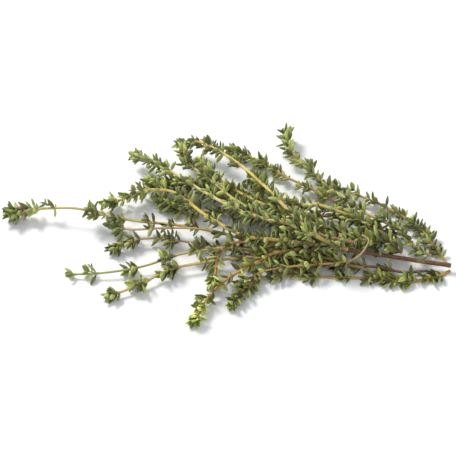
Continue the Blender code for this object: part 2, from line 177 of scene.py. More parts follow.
# The rosette at a tip: the turn from leaf to leaf and its sway, the first lean and what each next leaf adds,
# its sway, the first size and what each next leaf adds, their distance along the stem, and their curve
ROSETTE_TURN = 137.5
ROSETTE_SWAY = 12
ROSETTE_LEANS = (10, 4.4)
ROSETTE_NOD = 5
ROSETTE_SIZE = (0.5, 0.66)
ROSETTE_GROWTH = 0.028
ROSETTE_STEP = 0.22
ROSETTE_RECURVE = (0.0, 0.08)

# Side shoots and tips
SHOOT_LENGTH = (1.6, 4.2)
# A shoot's two parts, as shares of its length, and its bend between them
SHOOT_PARTS = (0.55, 0.45)
SHOOT_BEND = 0.8
SHOOT_LOWEST = 0.5
SHOOT_THICK = 0.24
SHOOT_THIN = 0.18
# Shoots longer than this have a pair.
PAIR_SHOOT = 2.4
# Leaves up to the first distance from the tip have their look's size and tip shoots, and in the look with
# large leaves those past the second.
LARGE_REACH = 16.0
LARGE_BACK = 30.0
# Extra tufts that make the middle of the heap dense: the clear length at both ends of a stem and beside a
# listed tuft, the step of the search, their pitch, the number of the first, and their side shoots' length
# and share
FILL_BARE = 0.8
FILL_CLEAR = 2.2
FILL_STEP = 0.5
FILL_PITCH = 3.6
FILL_NUMBER = 100
FILL_SHOOTS = (1.2, 2.8)
FILL_SHARE = 0.85
# The shoots of extra tufts are longer in the upper left of the heap: left of and behind these on the plan.
LONG_SHOOTS = (2.4, 5.0)
LONG_LEFT = 25.0
LONG_BEHIND = -8.0
# Longer shoots than usual grow between these two distances from the tip.
REACHING = (8.0, 45.0)
# Leaves past the start of the fresh ones are this much larger.
FRESH_SIZE = 1.3
# The one tip with buds, how small its budding leaves are, and the tufts of it whose shoots are in bud
BUDDED = "sprig_far_left"
BUD_SIZE = 0.62
BUD_TUFTS = (9,)

# A fine blade, in shares of its length: how far it curves back, its stations (share of the length, share of
# the full width) and the points round it (share of the half width, rise towards the margin, drop)
LEAF_RECURVES = (0.02, 0.09, 0.17)
FORMS = 3
LEAF_STATIONS = (
    (0.0, 0.14), (0.12, 0.3), (0.26, 0.76), (0.42, 1.0), (0.6, 0.94), (0.78, 0.68), (0.92, 0.34),
)
LEAF_RING = (
    (-1.0, 0.8, 0.35), (-0.66, 1.0, 0.0), (0.0, 0.0, 0.0), (0.66, 1.0, 0.0),
    (1.0, 0.8, 0.35), (0.62, 1.0, 1.0), (0.0, 0.0, 1.25), (-0.62, 1.0, 1.0),
)
LEAF_MARGIN = 0.035
LEAF_THICK = 0.045
# What sets the blades' forms apart: fold, width, sideways bend and twist in radians
SHAPE_FOLD = (0.11, 0.19)
SHAPE_WIDTH = (0.86, 1.08)
SHAPE_BEND = 0.06
SHAPE_TWIST = 0.35
# The thin blades are a little shorter than the thick ones that kept the room for them.
FINE_LEAF_SIZE = 0.96
# A leaf this far back from the tip is full grown, times a drawn share. Fresh leaves draw their age.
AGE_REACH = 26.0
AGE_SPREAD = (0.8, 1.0)
FRESH_AGE = (0.0, 0.4)
# The dark leaves of a dark tip end here.
DARK_REACH = 10.0

# Fine stems: step of their rings, reach and height of the swelling at a tuft, rounding of their corners and
# the steps round each
FINE_STEP = 0.5
KNOT_REACH = 0.75
KNOT_SWELL = 0.35
CORNER_ROUNDING = 0.55
CORNER_STEPS = 2
# The noise along a shoot starts far from that of the stems.
SHOOT_ALONG = 400.0
SHOOT_ALONG_STEP = 9.0
# Hairs on a square metre
HAIR_DENSITY = 7e5
HAIR_LENGTH = 0.3
HAIR_THICK = 0.02
# Hairs swing between these turns from upright, in radians.
HAIR_SWING = ((-0.6, -0.6, 0.0), (0.6, 0.6, 3.0))
# What every thin leaf carries, and the attributes that only the growing needs
LEAF_ATTRIBUTES = (
    ("turned", "FLOAT_VECTOR"), ("length", "FLOAT"), ("shape", "INT"), ("age", "FLOAT"), ("tint", "FLOAT"),
    ("bud", "FLOAT"), ("bright", "FLOAT"), ("warm", "FLOAT"),
)
SPENT_ATTRIBUTES = ("turned", "length", "shape", "half", "tilt")

# Leaf surface. A RAMP says where a smooth step begins and ends, and what it gives at both where that isn't
# 0 and 1. A noise is its scale, detail and roughness.
MIDRIB_RAMP = (0.03, 0.16, 1.0, 0.0)
VEIN_NUMBER = 7.0
VEIN_SLANT = 1.7
VEIN_RAMP = (0.36, 0.48)
VEIN_FADE_RAMP = (0.95, 0.6)
SIDE_VEIN_SHARE = 0.55
LEAF_PATCHES = (420.0, 3.0)
LEAF_SPECKLES = (3400.0, 2.0, 0.6)
LEAF_GLANDS = 3000.0
DEPTH_RAMP = (0.2, 0.95)
SPECKLE_RAMP = (0.45, 0.7)
# The pale margin is partly the rolled margin's own paler colour and partly a painted highlight along each
# leaf's edges.
MARGIN_AND_HIGHLIGHT_RAMP = (0.76, 1.0, 0.0, 0.55)
PETIOLE_RAMP = (0.16, 0.02, 0.0, 0.6)
# How much a mark shows
TINT_SHARE = 0.62
PATCH_SHARE = 0.5
WARM_SHARE = 0.5
YOUNG_SHARE = 0.56
SPECKLE_SHARE = 0.16
VEIN_SHARE = 0.34
UNDER_SHARE = 0.72
DRY_SHARE = 0.7
BUD_SHARE = 0.55
# The brightness of a sprig's leaves; the brightness of each leaf, partly random tone and partly painted light
# and shade that makes some leaves look lit and others shaded; and which leaves are dry and where
SPRIG_LIGHT_RAMP = (0.0, 1.0, 0.56, 1.42)
LEAF_TONE_AND_PAINTED_LIGHT_RAMP = (0.0, 1.0, 0.42, 1.75)
LEAF_TONE_AND_PAINTED_LIGHT_DRAW = 7.3
DRY_TINT_RAMP = (0.94, 0.95)
DRY_PATCH_RAMP = (0.46, 0.6)
LEAF_ROUGH_RAMP = (0.3, 0.7, 0.3, 0.5)
UNDER_ROUGH = 0.2
LEAF_SPECULAR = 0.52
GLAND_HEIGHT = 0.5
# A bump is its strength and its distance in metres.
LEAF_BUMP = (0.6, 0.00006)

# Stem surface
FIBRE_STRETCH = 0.16
FIBRES = (5.0, 4.0, 0.65)
FIBRE_LIGHT_RAMP = (0.28, 0.72, 0.6, 1.35)
RUST_PATCHES = 130.0
RUST_RAMP = (0.5, 0.72, 0.0, 0.28)
GREEN_PATCHES = 210.0
GREEN_RAMP = (0.52, 0.74, 0.0, 0.35)
CUT_RAMP = (0.35, 0.05, 0.0, 0.85)
KNOT_SHARE = 0.4
HAIR_SHARE = 0.75
STEM_ROUGH_RAMP = (0.3, 0.7, 0.42, 0.62)
STEM_SPECULAR = 0.4
STEM_BUMP = (0.5, 0.00008)

# Camera, floor and light, in metres and degrees
LENS = 100.0
SENSOR = 36.0
CAMERA_ELEVATION = 50.0
CAMERA_AIM = (-0.0015, 0.0, 0.008)
CAMERA_DISTANCE = 0.5435
CAMERA_CLIP = 20.0
FLOOR_REACH = 3.0
FLOOR_WHITE = (0.88, 0.88, 0.88)
FLOOR_SHADE = (0.85, 0.85, 0.86)
FLOOR_MOTTLE = 9.0
FLOOR_ROUGH = 0.7
FLOOR_SPECULAR = 0.2
SKY_COLOUR = (0.93, 0.95, 1.0, 1.0)
SKY_STRENGTH = 0.77
KEY_FROM = (-0.5, 0.42, 0.76)
KEY_DISTANCE = 1.2
KEY_SIZE = 0.42
KEY_POWER = 12.6
KEY_COLOUR = (1.0, 0.98, 0.94)

# Colours of the leaves
DARK_LEAF = (0.048, 0.058, 0.006)
MID_LEAF = (0.252, 0.292, 0.034)
WARM_LEAF = (0.3, 0.32, 0.03)
YOUNG_LEAF = (0.34, 0.42, 0.055)
PALE_VEIN = (0.42, 0.48, 0.14)
# Pale edge colour: partly the rolled margin's own colour, partly a painted highlight.
PALE_MARGIN_AND_PAINTED_HIGHLIGHT = (0.52, 0.55, 0.36)
PETIOLE = (0.42, 0.42, 0.14)
UNDERSIDE = (0.37, 0.41, 0.13)
DRY_LEAF = (0.24, 0.15, 0.06)
BUD_PINK = (0.52, 0.28, 0.27)

# Colours of the stems
STRAW = (0.5, 0.4, 0.13)
DULL_STRAW = (0.32, 0.28, 0.14)
PALE_YELLOW = (0.66, 0.58, 0.25)
YELLOW = (0.62, 0.49, 0.12)
GOLDEN = (0.52, 0.27, 0.05)
OLIVE = (0.25, 0.24, 0.07)
OCHRE = (0.44, 0.33, 0.07)
RED_BROWN = (0.16, 0.072, 0.032)
PURPLE_BROWN = (0.16, 0.078, 0.055)
PINKISH = (0.42, 0.19, 0.12)
TAN = (0.56, 0.37, 0.17)
PALE_TAN = (0.62, 0.49, 0.2)
DUSTY_PINK = (0.5, 0.34, 0.22)
TWIG_BROWN = (0.25, 0.15, 0.07)
STEM_GREEN = (0.32, 0.36, 0.1)
RUSTY = (0.42, 0.17, 0.06)
KNOT_BROWN = (0.22, 0.15, 0.06)
CUT_WOOD = (0.6, 0.42, 0.2)
HAIR_WHITE = (0.72, 0.74, 0.62)
SIDE_COLOUR = DUSTY_PINK


@dataclass
class Look:
    """Stem colours at the cut end, in the middle and at the tip, and how the leaves differ between sprigs.

    The leaves' brightness, warmth and size, the share of tufts with side shoots (its own near the tip), how
    far the shoots reach, the leaves at the tip, how slim the stem is, how far from the tip the fresh leaves
    near the cut end start, how fresh the youngest leaves look, and how much darker the tip is.
    """

    cut: tuple
    middle: tuple
    tip: tuple
    bright: float = 0.5
    warm: float = 0.3
    shoots: float = 0.85
    tip_shoots: float = None
    reach: float = 1.0
    size: float = 1.0
    tip_leaves: int = 11
    slim: float = 0.97
    fresh: float = 999.0
    youth: float = 0.55
    dark_tip: float = 0.0


FRONT_LOOK = Look(GOLDEN, OCHRE, PINKISH, bright=0.4, warm=0.5, slim=0.88, fresh=75.0, youth=0.5)
PURPLE_LOOK = Look(PURPLE_BROWN, PURPLE_BROWN, DUSTY_PINK, bright=0.3, warm=0.2, shoots=0.45,
                   tip_shoots=0.95, slim=0.88)
DUSKY_LOOK = Look(OCHRE, TAN, STRAW, bright=0.42, warm=0.2, shoots=0.55)
PINKISH_LOOK = Look(TWIG_BROWN, PINKISH, STEM_GREEN, bright=0.46, warm=1.7, size=1.22, tip_leaves=14,
                    youth=0.1, dark_tip=0.36)
BROWN_LOOK = Look(RED_BROWN, TWIG_BROWN, STRAW, bright=0.48, warm=0.15, tip_shoots=1.0, reach=1.6, size=1.15)
BUSHY_LOOK = Look(TWIG_BROWN, OCHRE, STRAW, bright=0.42, warm=0.15, tip_shoots=1.0, reach=1.6, size=1.15)
BUSHY_YELLOW_LOOK = Look(TWIG_BROWN, YELLOW, YELLOW, bright=0.46, warm=0.1, tip_shoots=1.0, reach=1.6,
                         size=1.1, slim=1.1)
STRAW_LOOK = Look(TWIG_BROWN, STRAW, STRAW, warm=0.05, tip_leaves=12)
HEAD_LOOK = Look(TWIG_BROWN, STRAW, STRAW, bright=0.46, warm=0.15, shoots=0.3, tip_shoots=1.0, size=1.15,
                 tip_leaves=16)
OPEN_LOOK = Look(TWIG_BROWN, STRAW, STRAW, bright=0.42, warm=0.2, shoots=0.3, tip_shoots=0.5, tip_leaves=13,
                 youth=0.4)
THIN_GREEN_LOOK = Look(OLIVE, STRAW, STEM_GREEN, shoots=0.15, size=0.85, tip_leaves=2, youth=0.9)
GOLDEN_LOOK = Look(DULL_STRAW, GOLDEN, OCHRE, bright=0.52, warm=0.4, shoots=0.45, slim=0.72)
PALE_LEAF_LOOK = Look(OLIVE, PALE_TAN, PALE_TAN, bright=0.46, warm=0.05, shoots=0.45, tip_shoots=0.95,
                      size=1.15, tip_leaves=7, slim=1.08, youth=0.4)
LARGE_LEAF_LOOK = Look(RED_BROWN, TWIG_BROWN, STRAW, bright=0.46, warm=0.8, size=1.45)
RED_LOOK = Look(PURPLE_BROWN, GOLDEN, PINKISH, bright=0.75, warm=1.2, shoots=0.45, tip_shoots=0.8, youth=1.1)
WOODY_LOOK = Look(RED_BROWN, RED_BROWN, GOLDEN, bright=0.42, warm=0.5, shoots=0.25, tip_shoots=0.2,
                  slim=0.95, youth=0.3)
YELLOW_LOOK = Look(TWIG_BROWN, YELLOW, YELLOW, bright=0.48, warm=0.0, slim=1.1)
ARCH_LOOK = Look(TWIG_BROWN, YELLOW, YELLOW, bright=0.42, warm=0.05, shoots=0.7, reach=1.7, slim=1.1)
PALE_YELLOW_LOOK = Look(TWIG_BROWN, PALE_YELLOW, PALE_YELLOW, bright=0.52, warm=0.0, tip_leaves=9, slim=1.08,
                        youth=0.35)


@dataclass
class Sprig:
    """One leafy stem: its route from the cut end to the tip, and where its leaf tufts sit.

    Also the pitch of unlisted tufts, the half widths at the cut end and the tip, the size of its leaves, the
    bare length at the cut end, its side branch, and the stretches along the plan that extra tufts fill.
    """

    name: str
    seed: int
    route: tuple
    tufts: tuple
    pitch: float
    thick: float
    look: Look
    leaf: float = 1.0
    bare: float = 8.0
    side: tuple = None
    thin: float = 0.46
    fill: tuple = ()

    @property
    def twist(self):
        return math.radians((self.seed * SEED_TWIST) % 90) if self.seed > FIRST_SEED else 0.0


# From the lowest to the highest in the heap. Tufts are distances back from the tip; past the last one
# listed they follow every pitch, up to the bare length at the cut end.
SPRIGS = (
    Sprig("sprig_front_low", 11, ((92, -16, 0.8), (87.5, -18.5, 0), (79, -21, 0), (60, -20, 0), (36, -19, 0),
          (26, -18.5, 0.8), (13, -21, 2.2), (6, -26.5, 3), (0.5, -34, 2.6)),
          (0, 3.5, 7, 13, 17, 27, 35, 42, 55, 65, 70, 75, 83, 90), 8.0, 0.62, FRONT_LOOK, bare=4,
          fill=((61, 73), (85, 88))),
    Sprig("sprig_left_purple", 12, ((82.5, -16.5, 1.4), (71.5, -17.5, 1.8), (63.5, -15.5, 2), (30, -13.5, 2),
          (14, -11, 2.6), (-2.5, -6, 3.2), (-20, -3, 4.4), (-33, -1.5, 4.8), (-44.5, -3, 4),
          (-49.5, -6, 3.4)), (0, 4, 11, 20, 24.5, 40, 46, 56, 66, 76, 87, 98, 108, 119), 10.0, 0.6,
          PURPLE_LOOK, fill=((-32, -22), (18, 30))),
    Sprig("sprig_right_edge", 13, ((90.5, -11, 1.2), (87, -5.5, 1.6), (82.5, 4, 2.2), (75, 11.5, 3),
          (64, 19.5, 3.4), (50.5, 26.5, 3.4), (44.5, 29.5, 3.2)), (0, 4, 7.5, 13, 22, 26, 32, 40, 45, 52, 57),
          7.0, 0.58, DUSKY_LOOK, bare=4, fill=((63, 68), (73, 77), (79, 84), (87, 89))),
    Sprig("sprig_top_dark", 14, ((71, 0.5, 2.2), (60.5, 7, 2.8), (50.5, 15, 3.6), (35, 26.5, 5),
          (23.5, 34, 5), (15, 42.5, 4), (10, 45.5, 4), (1, 50.5, 3.4)),
          (0, 3, 6, 9, 14, 17, 23, 26, 42, 51, 60, 69), 9.0, 0.6, PINKISH_LOOK, leaf=0.95, fill=((13, 26),
          (60, 72))),
    Sprig("sprig_inner_back", 15, ((66.5, 2, 4.6), (54, 7, 5), (41.5, 10.5, 5), (31, 11.5, 5), (18, 18, 4.4),
          (7.5, 23, 4), (-3.5, 25.5, 3.6)), (0, 4, 9), 9.0, 0.58, BROWN_LOOK, fill=((4, 12), (54, 67))),
    Sprig("sprig_inner_low", 16, ((64, -5, 3.6), (49.5, 0.5, 4), (20, 10.5, 4), (9.5, 14, 3.8),
          (-1.5, 14, 3.8), (-23, 17.5, 3.6), (-30.5, 21, 3.4)), (0, 4, 9), 9.0, 0.6, BUSHY_LOOK,
          fill=((-32, -12), (24, 34), (52, 65))),
    Sprig("sprig_left_front", 17, ((55, -17, 3.9), (38.5, -13.5, 3.8), (24, -11.5, 3.8), (5, -12, 4.4),
          (-11.5, -14.5, 4.4), (-26, -18, 4), (-38, -25, 3), (-50, -30.5, 2.4)),
          (0, 3.5, 14, 17, 28, 31, 43, 48, 60), 10.0, 0.6, OPEN_LOOK, leaf=1.08, fill=((20, 32),)),
    Sprig("sprig_left_thin", 18, ((48.5, -14.5, 5.2), (30, -12, 5.4), (14, -9.5, 5.6), (-2.5, -8, 6.2),
          (-9.5, -9, 6.2), (-21.5, -11, 5.6), (-36.5, -16, 4), (-54.5, -19, 3), (-66.5, -19, 2)),
          (0.5, 10, 27, 40, 43.5, 55, 60, 70), 10.0, 0.56, THIN_GREEN_LOOK, leaf=1.08, bare=10, thin=0.42,
          fill=((24, 49),)),
    Sprig("sprig_far_left", 19, ((45, -11, 3), (30, -8, 3.4), (12.5, -4, 3.8), (-5.5, 1.5, 5),
          (-23.5, 4.5, 6.4), (-39.5, 6, 7), (-55.5, 8.5, 8.6), (-66.5, 11.5, 9), (-78.5, 13, 7.4),
          (-88.5, 13.5, 5.6), (-96, 13, 4.6)), (0, 3, 6, 9, 12.5, 20, 35, 39, 51, 64, 72, 83), 11.0, 0.66,
          HEAD_LOOK, side=((-9.5, 2.5, 5.4), (-16, 2, 7), (-31.5, 1.5, 7.8), (-39.5, 1.5, 7), (-45, 2.5, 6),
          (-49.5, 5, 5)), fill=((-62, -54), (5, 12), (22, 45))),
    Sprig("sprig_front_curl", 20, ((55, -4.5, 10.5), (57.5, -7.5, 11), (56, -11, 10), (54, -13.5, 9),
          (50, -16, 8), (45, -16.5, 7.2), (32, -17, 6), (18.5, -18, 4.8), (12.5, -19.5, 4.6),
          (7.5, -22.5, 4.2), (3.5, -25, 3.6)), (0, 4, 12, 22, 31, 36, 46, 50), 60.0, 0.52, GOLDEN_LOOK,
          bare=16, thin=0.44),
    Sprig("sprig_top_right", 21, ((84, -10.5, 4), (79, -7.5, 4.6), (74.5, -3, 5.6), (72, 0.5, 6.6),
          (65.5, 5, 7.6), (56.5, 11, 7.6), (51.5, 17, 7.4), (42.5, 25.5, 7), (33.5, 37.5, 6.6),
          (28, 44.5, 6.4), (25, 57, 6.8)), (0, 3, 6, 10, 20, 25, 29, 37, 41, 48, 53, 58, 65, 70, 78), 8.0,
          0.64, PALE_LEAF_LOOK, bare=4, fill=((27, 40), (45, 58), (62, 83))),
    Sprig("sprig_lower_left", 22, ((44.5, -12, 6.2), (30, -10.5, 6.8), (23.5, -11, 7), (16, -13, 7),
          (11.5, -15.5, 6.4), (3.5, -20, 5.6), (-5, -26.5, 4.6), (-11, -35, 3.8), (-15, -43, 2.6)),
          (0, 3.5, 8, 12, 16, 21, 26, 31, 37, 44, 52), 9.0, 0.58, RED_LOOK, leaf=1.02, fill=((30, 45),)),
    Sprig("sprig_woody", 23, ((92, -15.5, 2), (81.5, -13.5, 3.2), (64.5, -11.5, 5.4), (50.5, -10, 7),
          (36, -8.5, 8), (12, -7.5, 8.8), (4, -7, 8.8), (-1, -8, 8.6), (-4, -10.5, 8), (-6, -14, 6.8),
          (-6.5, -19, 5.4), (-7.5, -24.5, 3.6)), (0, 3.5, 7.5, 11.5, 15.5, 21, 29, 38, 47, 56, 65), 9.0, 1.0,
          WOODY_LOOK, leaf=1.08, bare=26, fill=((14, 34),)),
    Sprig("sprig_inner_right", 24, ((71.5, -11.5, 7), (65.5, -7, 7.4), (57.5, -5, 7.8), (47, -1.5, 8.6),
          (38, 1.5, 9), (30.5, 6, 9)), (0, 4, 8, 14, 20, 27, 35), 9.0, 0.56, LARGE_LEAF_LOOK, leaf=1.15,
          bare=6, fill=((44, 72),)),
    Sprig("sprig_inner_mid", 25, ((64, -1.5, 8), (52, 7.5, 8), (42, 12.5, 7.8), (37, 15, 7.4),
          (31, 14.5, 6.8), (24.5, 18, 6.6), (18, 22.5, 6.2), (9.5, 34, 4.6)), (0, 4, 9, 14), 10.0, 0.66,
          BUSHY_YELLOW_LOOK, bare=9, fill=((7, 16), (25, 33), (54, 65))),
    Sprig("sprig_inner_left", 26, ((26, 1.5, 6.4), (11.5, 9, 7), (-1.5, 18, 7.2), (-18.5, 26.5, 7.6),
          (-25.5, 28.5, 7.4), (-35, 29.5, 6)), (0, 4, 8, 12, 17), 9.0, 0.56, BROWN_LOOK, bare=6,
          fill=((-29, 2), (8, 12), (19, 27))),
    Sprig("sprig_inner_top", 27, ((41, -1.5, 7.4), (30.5, 2.5, 8), (18, 11, 8.6), (1.5, 22.5, 8.6),
          (-4, 27.5, 8.6), (-13, 39, 7.6)), (0, 4, 8, 13, 22), 11.0, 0.64, YELLOW_LOOK, bare=7,
          fill=((-11, -4), (22, 42))),
    Sprig("sprig_left_arch", 28, ((40, -9.5, 10.2), (30, -9, 10.4), (17.5, -7.5, 10.8), (5, -5.5, 10.8),
          (-0.5, -2, 10.8), (-11, 6.5, 10.4), (-28, 21.5, 9.4), (-33.5, 22.5, 8.8), (-39, 22.5, 7.6),
          (-49, 19, 5.6), (-53.5, 18, 4.8)), (0, 4.5, 10, 16, 20, 26, 36, 41, 57, 68, 80), 11.0, 0.66,
          ARCH_LOOK, fill=((6, 17), (22, 41))),
    Sprig("sprig_top_middle", 29, ((34.5, -10.5, 12.4), (30, -7.5, 12), (17.5, 2, 11.4), (9.5, 9, 11.2),
          (3.5, 13, 11.2), (-10, 27, 11), (-18, 36, 10.4), (-20.5, 42, 10), (-21.5, 48, 9.2)),
          (0, 3.5, 7, 11, 15, 24, 36, 47, 59), 12.0, 0.64, STRAW_LOOK, bare=6, fill=((-11, -2), (5, 18),
          (22, 35))),
    Sprig("sprig_top_left", 30, ((51.5, -9, 10.6), (38, -6.5, 12), (28.5, -4.5, 13), (24, -1.5, 13.4),
          (15.5, 1, 13.4), (4, 7, 12.6), (-13.5, 20, 11.6), (-27.5, 32.5, 10.4), (-32, 36, 9.6),
          (-42.5, 44, 7.6)), (0, 3.5, 8, 12, 16, 20, 34, 45, 56, 68, 80), 12.0, 0.68, PALE_YELLOW_LOOK,
          bare=10, fill=((4, 16), (22, 50))),
    Sprig("sprig_top_long", 31, ((48, -14.5, 12.6), (37, -10.5, 14.4), (28.5, -1.5, 14.4), (24.5, 5, 14),
          (13, 22.5, 13), (1.5, 36.5, 12), (-9.5, 47, 10.4), (-13.5, 50, 9.8), (-22.5, 50.5, 8.4)),
          (0, 4, 8, 14, 17, 22, 33, 48, 61, 74), 12.0, 0.72, YELLOW_LOOK, thin=0.48, fill=((28, 47),)),
)


def unit(vector):
    return vector / np.linalg.norm(vector)


def smooth_route(points):
    """Places about ROUTE_STEP apart on a smooth curve through the points."""
    points = np.array(points, float)
    steps = np.diff(points, axis=0)
    lengths = np.linalg.norm(steps, axis=1)
    slopes = steps / lengths[:, None]
    ahead, behind = lengths[1:, None], lengths[:-1, None]
    inner = (slopes[1:] * behind + slopes[:-1] * ahead) / (ahead + behind)
    tangents = np.vstack([slopes[:1], inner, slopes[-1:]])
    rows = []
    for i, length in enumerate(lengths):
        count = max(2, round(length / ROUTE_STEP))
        t = (np.arange(count) / count)[:, None]
        rows.append(
            (2 * t**3 - 3 * t**2 + 1) * points[i]
            + (t**3 - 2 * t**2 + t) * length * tangents[i]
            + (3 * t**2 - 2 * t**3) * points[i + 1]
            + (t**3 - t**2) * length * tangents[i + 1]
        )
    return np.vstack(rows + [points[-1:]])


def lifted(places, halves, laid):
    """The route bent clear of the surface and of the stems laid before it."""
    places = places.copy()
    numbers = np.arange(len(places))
    near = np.exp(-0.5 * ((numbers[:, None] - numbers) * ROUTE_STEP / LIFT_SPREAD) ** 2)
    for _ in range(LIFT_ROUNDS):
        places[:, 2] = np.maximum(places[:, 2], halves)
        if not len(laid):
            break
        away = places[:, None, :] - laid[None, :, :3]
        needed = halves[:, None] * CORNER + laid[None, :, 3] + STEM_GAP
        short = needed - np.linalg.norm(away, axis=2)
        side = np.where(away[:, :, 2] > -UNDER, 1.0, -1.0)
        push = np.where(short > 0, side * (short + LIFT_MORE), 0)
        worst = push[np.arange(len(push)), np.abs(push).argmax(axis=1)]
        if not np.abs(worst).any():
            break
        spread = near * worst[None, :]
        places[:, 2] += spread[np.arange(len(spread)), np.abs(spread).argmax(axis=1)]
    return places


class Stem:
    """A tapering stem along its route, from the cut end to the tip."""

    def __init__(self, route, thick, thin, twist, laid):
        self.twist = twist
        places = smooth_route(route)
        self.halves = np.linspace(thick, thin, len(places))
        self.places = lifted(places, self.halves, laid)
        gaps = np.linalg.norm(np.diff(self.places, axis=0), axis=1)
        self.along = np.concatenate([[0.0], np.cumsum(gaps)])
        self.length = self.along[-1]
        ahead = np.diff(np.vstack([self.places, 2 * self.places[-1] - self.places[-2]]), axis=0)
        behind = np.vstack([ahead[:1], ahead[:-1]])
        self.tangents = np.array([unit(t) for t in ahead + behind])

    def at(self, from_tip):
        """Place and tangent towards the tip, at a distance back from the tip."""
        at = self.length - from_tip
        place = np.array([np.interp(at, self.along, self.places[:, k]) for k in range(3)])
        toward = np.array([np.interp(at, self.along, self.tangents[:, k]) for k in range(3)])
        return place, unit(toward)

    def outward(self, from_tip, turn):
        """Place, tangent towards the tip, and the direction that leaves the square stem at this turn."""
        place, toward = self.at(from_tip)
        side = unit(np.cross(toward, UP))
        up = np.cross(side, toward)
        c, s = math.cos(self.twist), math.sin(self.twist)
        side, up = c * side + s * up, c * up - s * side
        return place, toward, math.cos(turn) * up + math.sin(turn) * side

    def balls(self):
        return np.column_stack([self.places, self.halves * CORNER])


class Leaf:
    """One blade: where it is rooted, which way it grows and faces, and its size."""

    def __init__(self, root, along, face, length, recurve, ball):
        self.root = root
        self.along = unit(along)
        self.face = unit(face - self.along * (face @ self.along))
        self.across = np.cross(self.along, self.face)
        self.length = length
        self.half = 0.5 * LEAF_WIDTH * length
        self.recurve = recurve
        self.ball = ball

    def centre(self, share):
        return self.root + self.length * (self.along * share - self.face * self.recurve * share * share)

    def corners(self):
        """Two margins and a keel for each section, then the tip."""
        rows = []
        for share, size in BLADE_SECTIONS:
            centre = self.centre(share)
            margin = self.face * MARGIN_RISE * size
            rows.append(centre + margin + self.across * self.half * size)
            rows.append(centre + margin - self.across * self.half * size)
            rows.append(centre - self.face * KEEL_DEPTH * size)
        rows.append(self.centre(1.0))
        return np.array(rows)

    def balls(self):
        middle = self.face * 0.5 * (MARGIN_RISE - KEEL_DEPTH)
        return np.array([
            (*(self.centre(share) + middle + self.across * self.half * aside), self.ball)
            for share, aside in LEAF_BALLS
        ])

    def lowest(self):
        return self.corners()[3:, 2].min()


def leaf_at(stem, from_tip, turn, lean, roll, length, recurve, ball):
    """A leaf that leaves the stem at an angle, with its upper side towards the stem's tip."""
    root, toward, out = stem.outward(from_tip, turn)
    along = math.cos(lean) * toward + math.sin(lean) * out
    face = math.sin(lean) * toward - math.cos(lean) * out
    face = math.cos(roll) * face + math.sin(roll) * np.cross(along, face)
    if ball == FINE_BALL:
        face = unit(face) + LIGHT_SEEKING * UP
    leaf = Leaf(root, along, face, length, recurve, ball)
    for _ in range(FLOOR_NUDGES):
        if leaf.lowest() >= FLOOR_GAP:
            break
        leaf = Leaf(root, leaf.along + UP * FLOOR_NUDGE, leaf.face, length, recurve, ball)
    return leaf


class Heap:
    """Every ball that is taken so far, with the number of the sprig that it belongs to."""

    def __init__(self):
        self.stems = np.zeros((0, 5))
        self.leaves = np.zeros((0, 5))
        self.near_stems = self.stems
        self.near_leaves = self.leaves

    def look_round(self, place):
        """Keeps what is round a place at hand, while the leaves of one tuft are placed."""
        self.near_stems = self.stems[(np.abs(self.stems[:, :3] - place) < TUFT_WINDOW).all(axis=1)]
        self.near_leaves = self.leaves[(np.abs(self.leaves[:, :3] - place) < TUFT_WINDOW).all(axis=1)]

    def add_stem(self, owner, balls):
        self.stems = np.vstack([self.stems, np.column_stack([balls, np.full(len(balls), owner)])])

    def add_leaf(self, owner, leaf):
        balls = leaf.balls()
        rows = np.column_stack([balls, np.full(len(balls), owner)])
        self.leaves = np.vstack([self.leaves, rows])
        self.near_leaves = np.vstack([self.near_leaves, rows])

    def has_room(self, owner, leaf):
        fine = leaf.ball == FINE_BALL
        gap = FINE_GAP if fine else LEAF_GAP
        own_share = FINE_OWN_SHARE if fine else OWN_LEAF_SHARE
        balls = leaf.balls()
        taken = np.vstack([self.near_stems, self.near_leaves])
        reach = leaf.length + NEAR
        taken = taken[(np.abs(taken[:, :3] - leaf.root) < reach).all(axis=1)]
        others = taken[taken[:, 4] != owner]
        gaps = np.linalg.norm(balls[:, None, :3] - others[None, :, :3], axis=2)
        if (gaps < balls[:, None, 3] + others[None, :, 3] + gap).any():
            return False
        own = self.near_leaves[self.near_leaves[:, 4] == owner]
        own = own[(np.abs(own[:, :3] - leaf.root) < reach).all(axis=1)]
        outer = balls[FIRST_OUTER_BALL:]
        gaps = np.linalg.norm(outer[:, None, :3] - own[None, :, :3], axis=2)
        return not (gaps < own_share * (outer[:, None, 3] + own[None, :, 3])).any()


def stem_tufts(sprig, along_stem, stem):
    """Distances back from the tip of every tuft on a sprig's stem, or on its side branch."""
    listed, bare = (SIDE_TUFTS, SIDE_BARE) if along_stem else (sprig.tufts, sprig.bare)
    places = [d for d in listed if d < stem.length - bare]
    while places[-1] + sprig.pitch < stem.length - bare:
        places.append(places[-1] + sprig.pitch)
    return places


def youth_at(from_tip):
    """From 1 at the tip down to 0 where leaves are full grown."""
    return max(0.0, 1.0 - from_tip / YOUNG_REACH)


def tuft_leaves(sprig, number, from_tip, along_stem):
    """The leaf pair of a tuft, crosswise to the next pair, and the small leaves between the two."""
    draw = random.Random(sprig.seed * TUFT_SEEDS[0] + number * TUFT_SEEDS[1] + along_stem)
    young = youth_at(from_tip)
    turn = number * 90 + draw.uniform(-TURN_SWAY, TURN_SWAY)
    wanted = []
    for half_turn in (0, 180):
        lean, size = PAIR_LEAF.drawn(draw, young)
        wanted.append((turn + half_turn, lean, size * (1 - PAIR_YOUNG_SIZE * young), 0.0))
    for quarter_turn in (90, 270):
        lean, size = SMALL_LEAF.drawn(draw, young)
        if number == 0 or draw.random() < SMALL_LEAF_SHARE:
            wanted.append((turn + quarter_turn, lean, size, SMALL_LEAF_AHEAD))
    for turn, lean, size, ahead in wanted:
        roll = draw.uniform(-ROLL, ROLL)
        recurve = draw.uniform(*PAIR_LEAF.recurve) * (1 - young)
        yield max(LAST_ROOT, from_tip - ahead), turn, lean, roll, sprig.leaf * size * LEAF_LENGTH, recurve


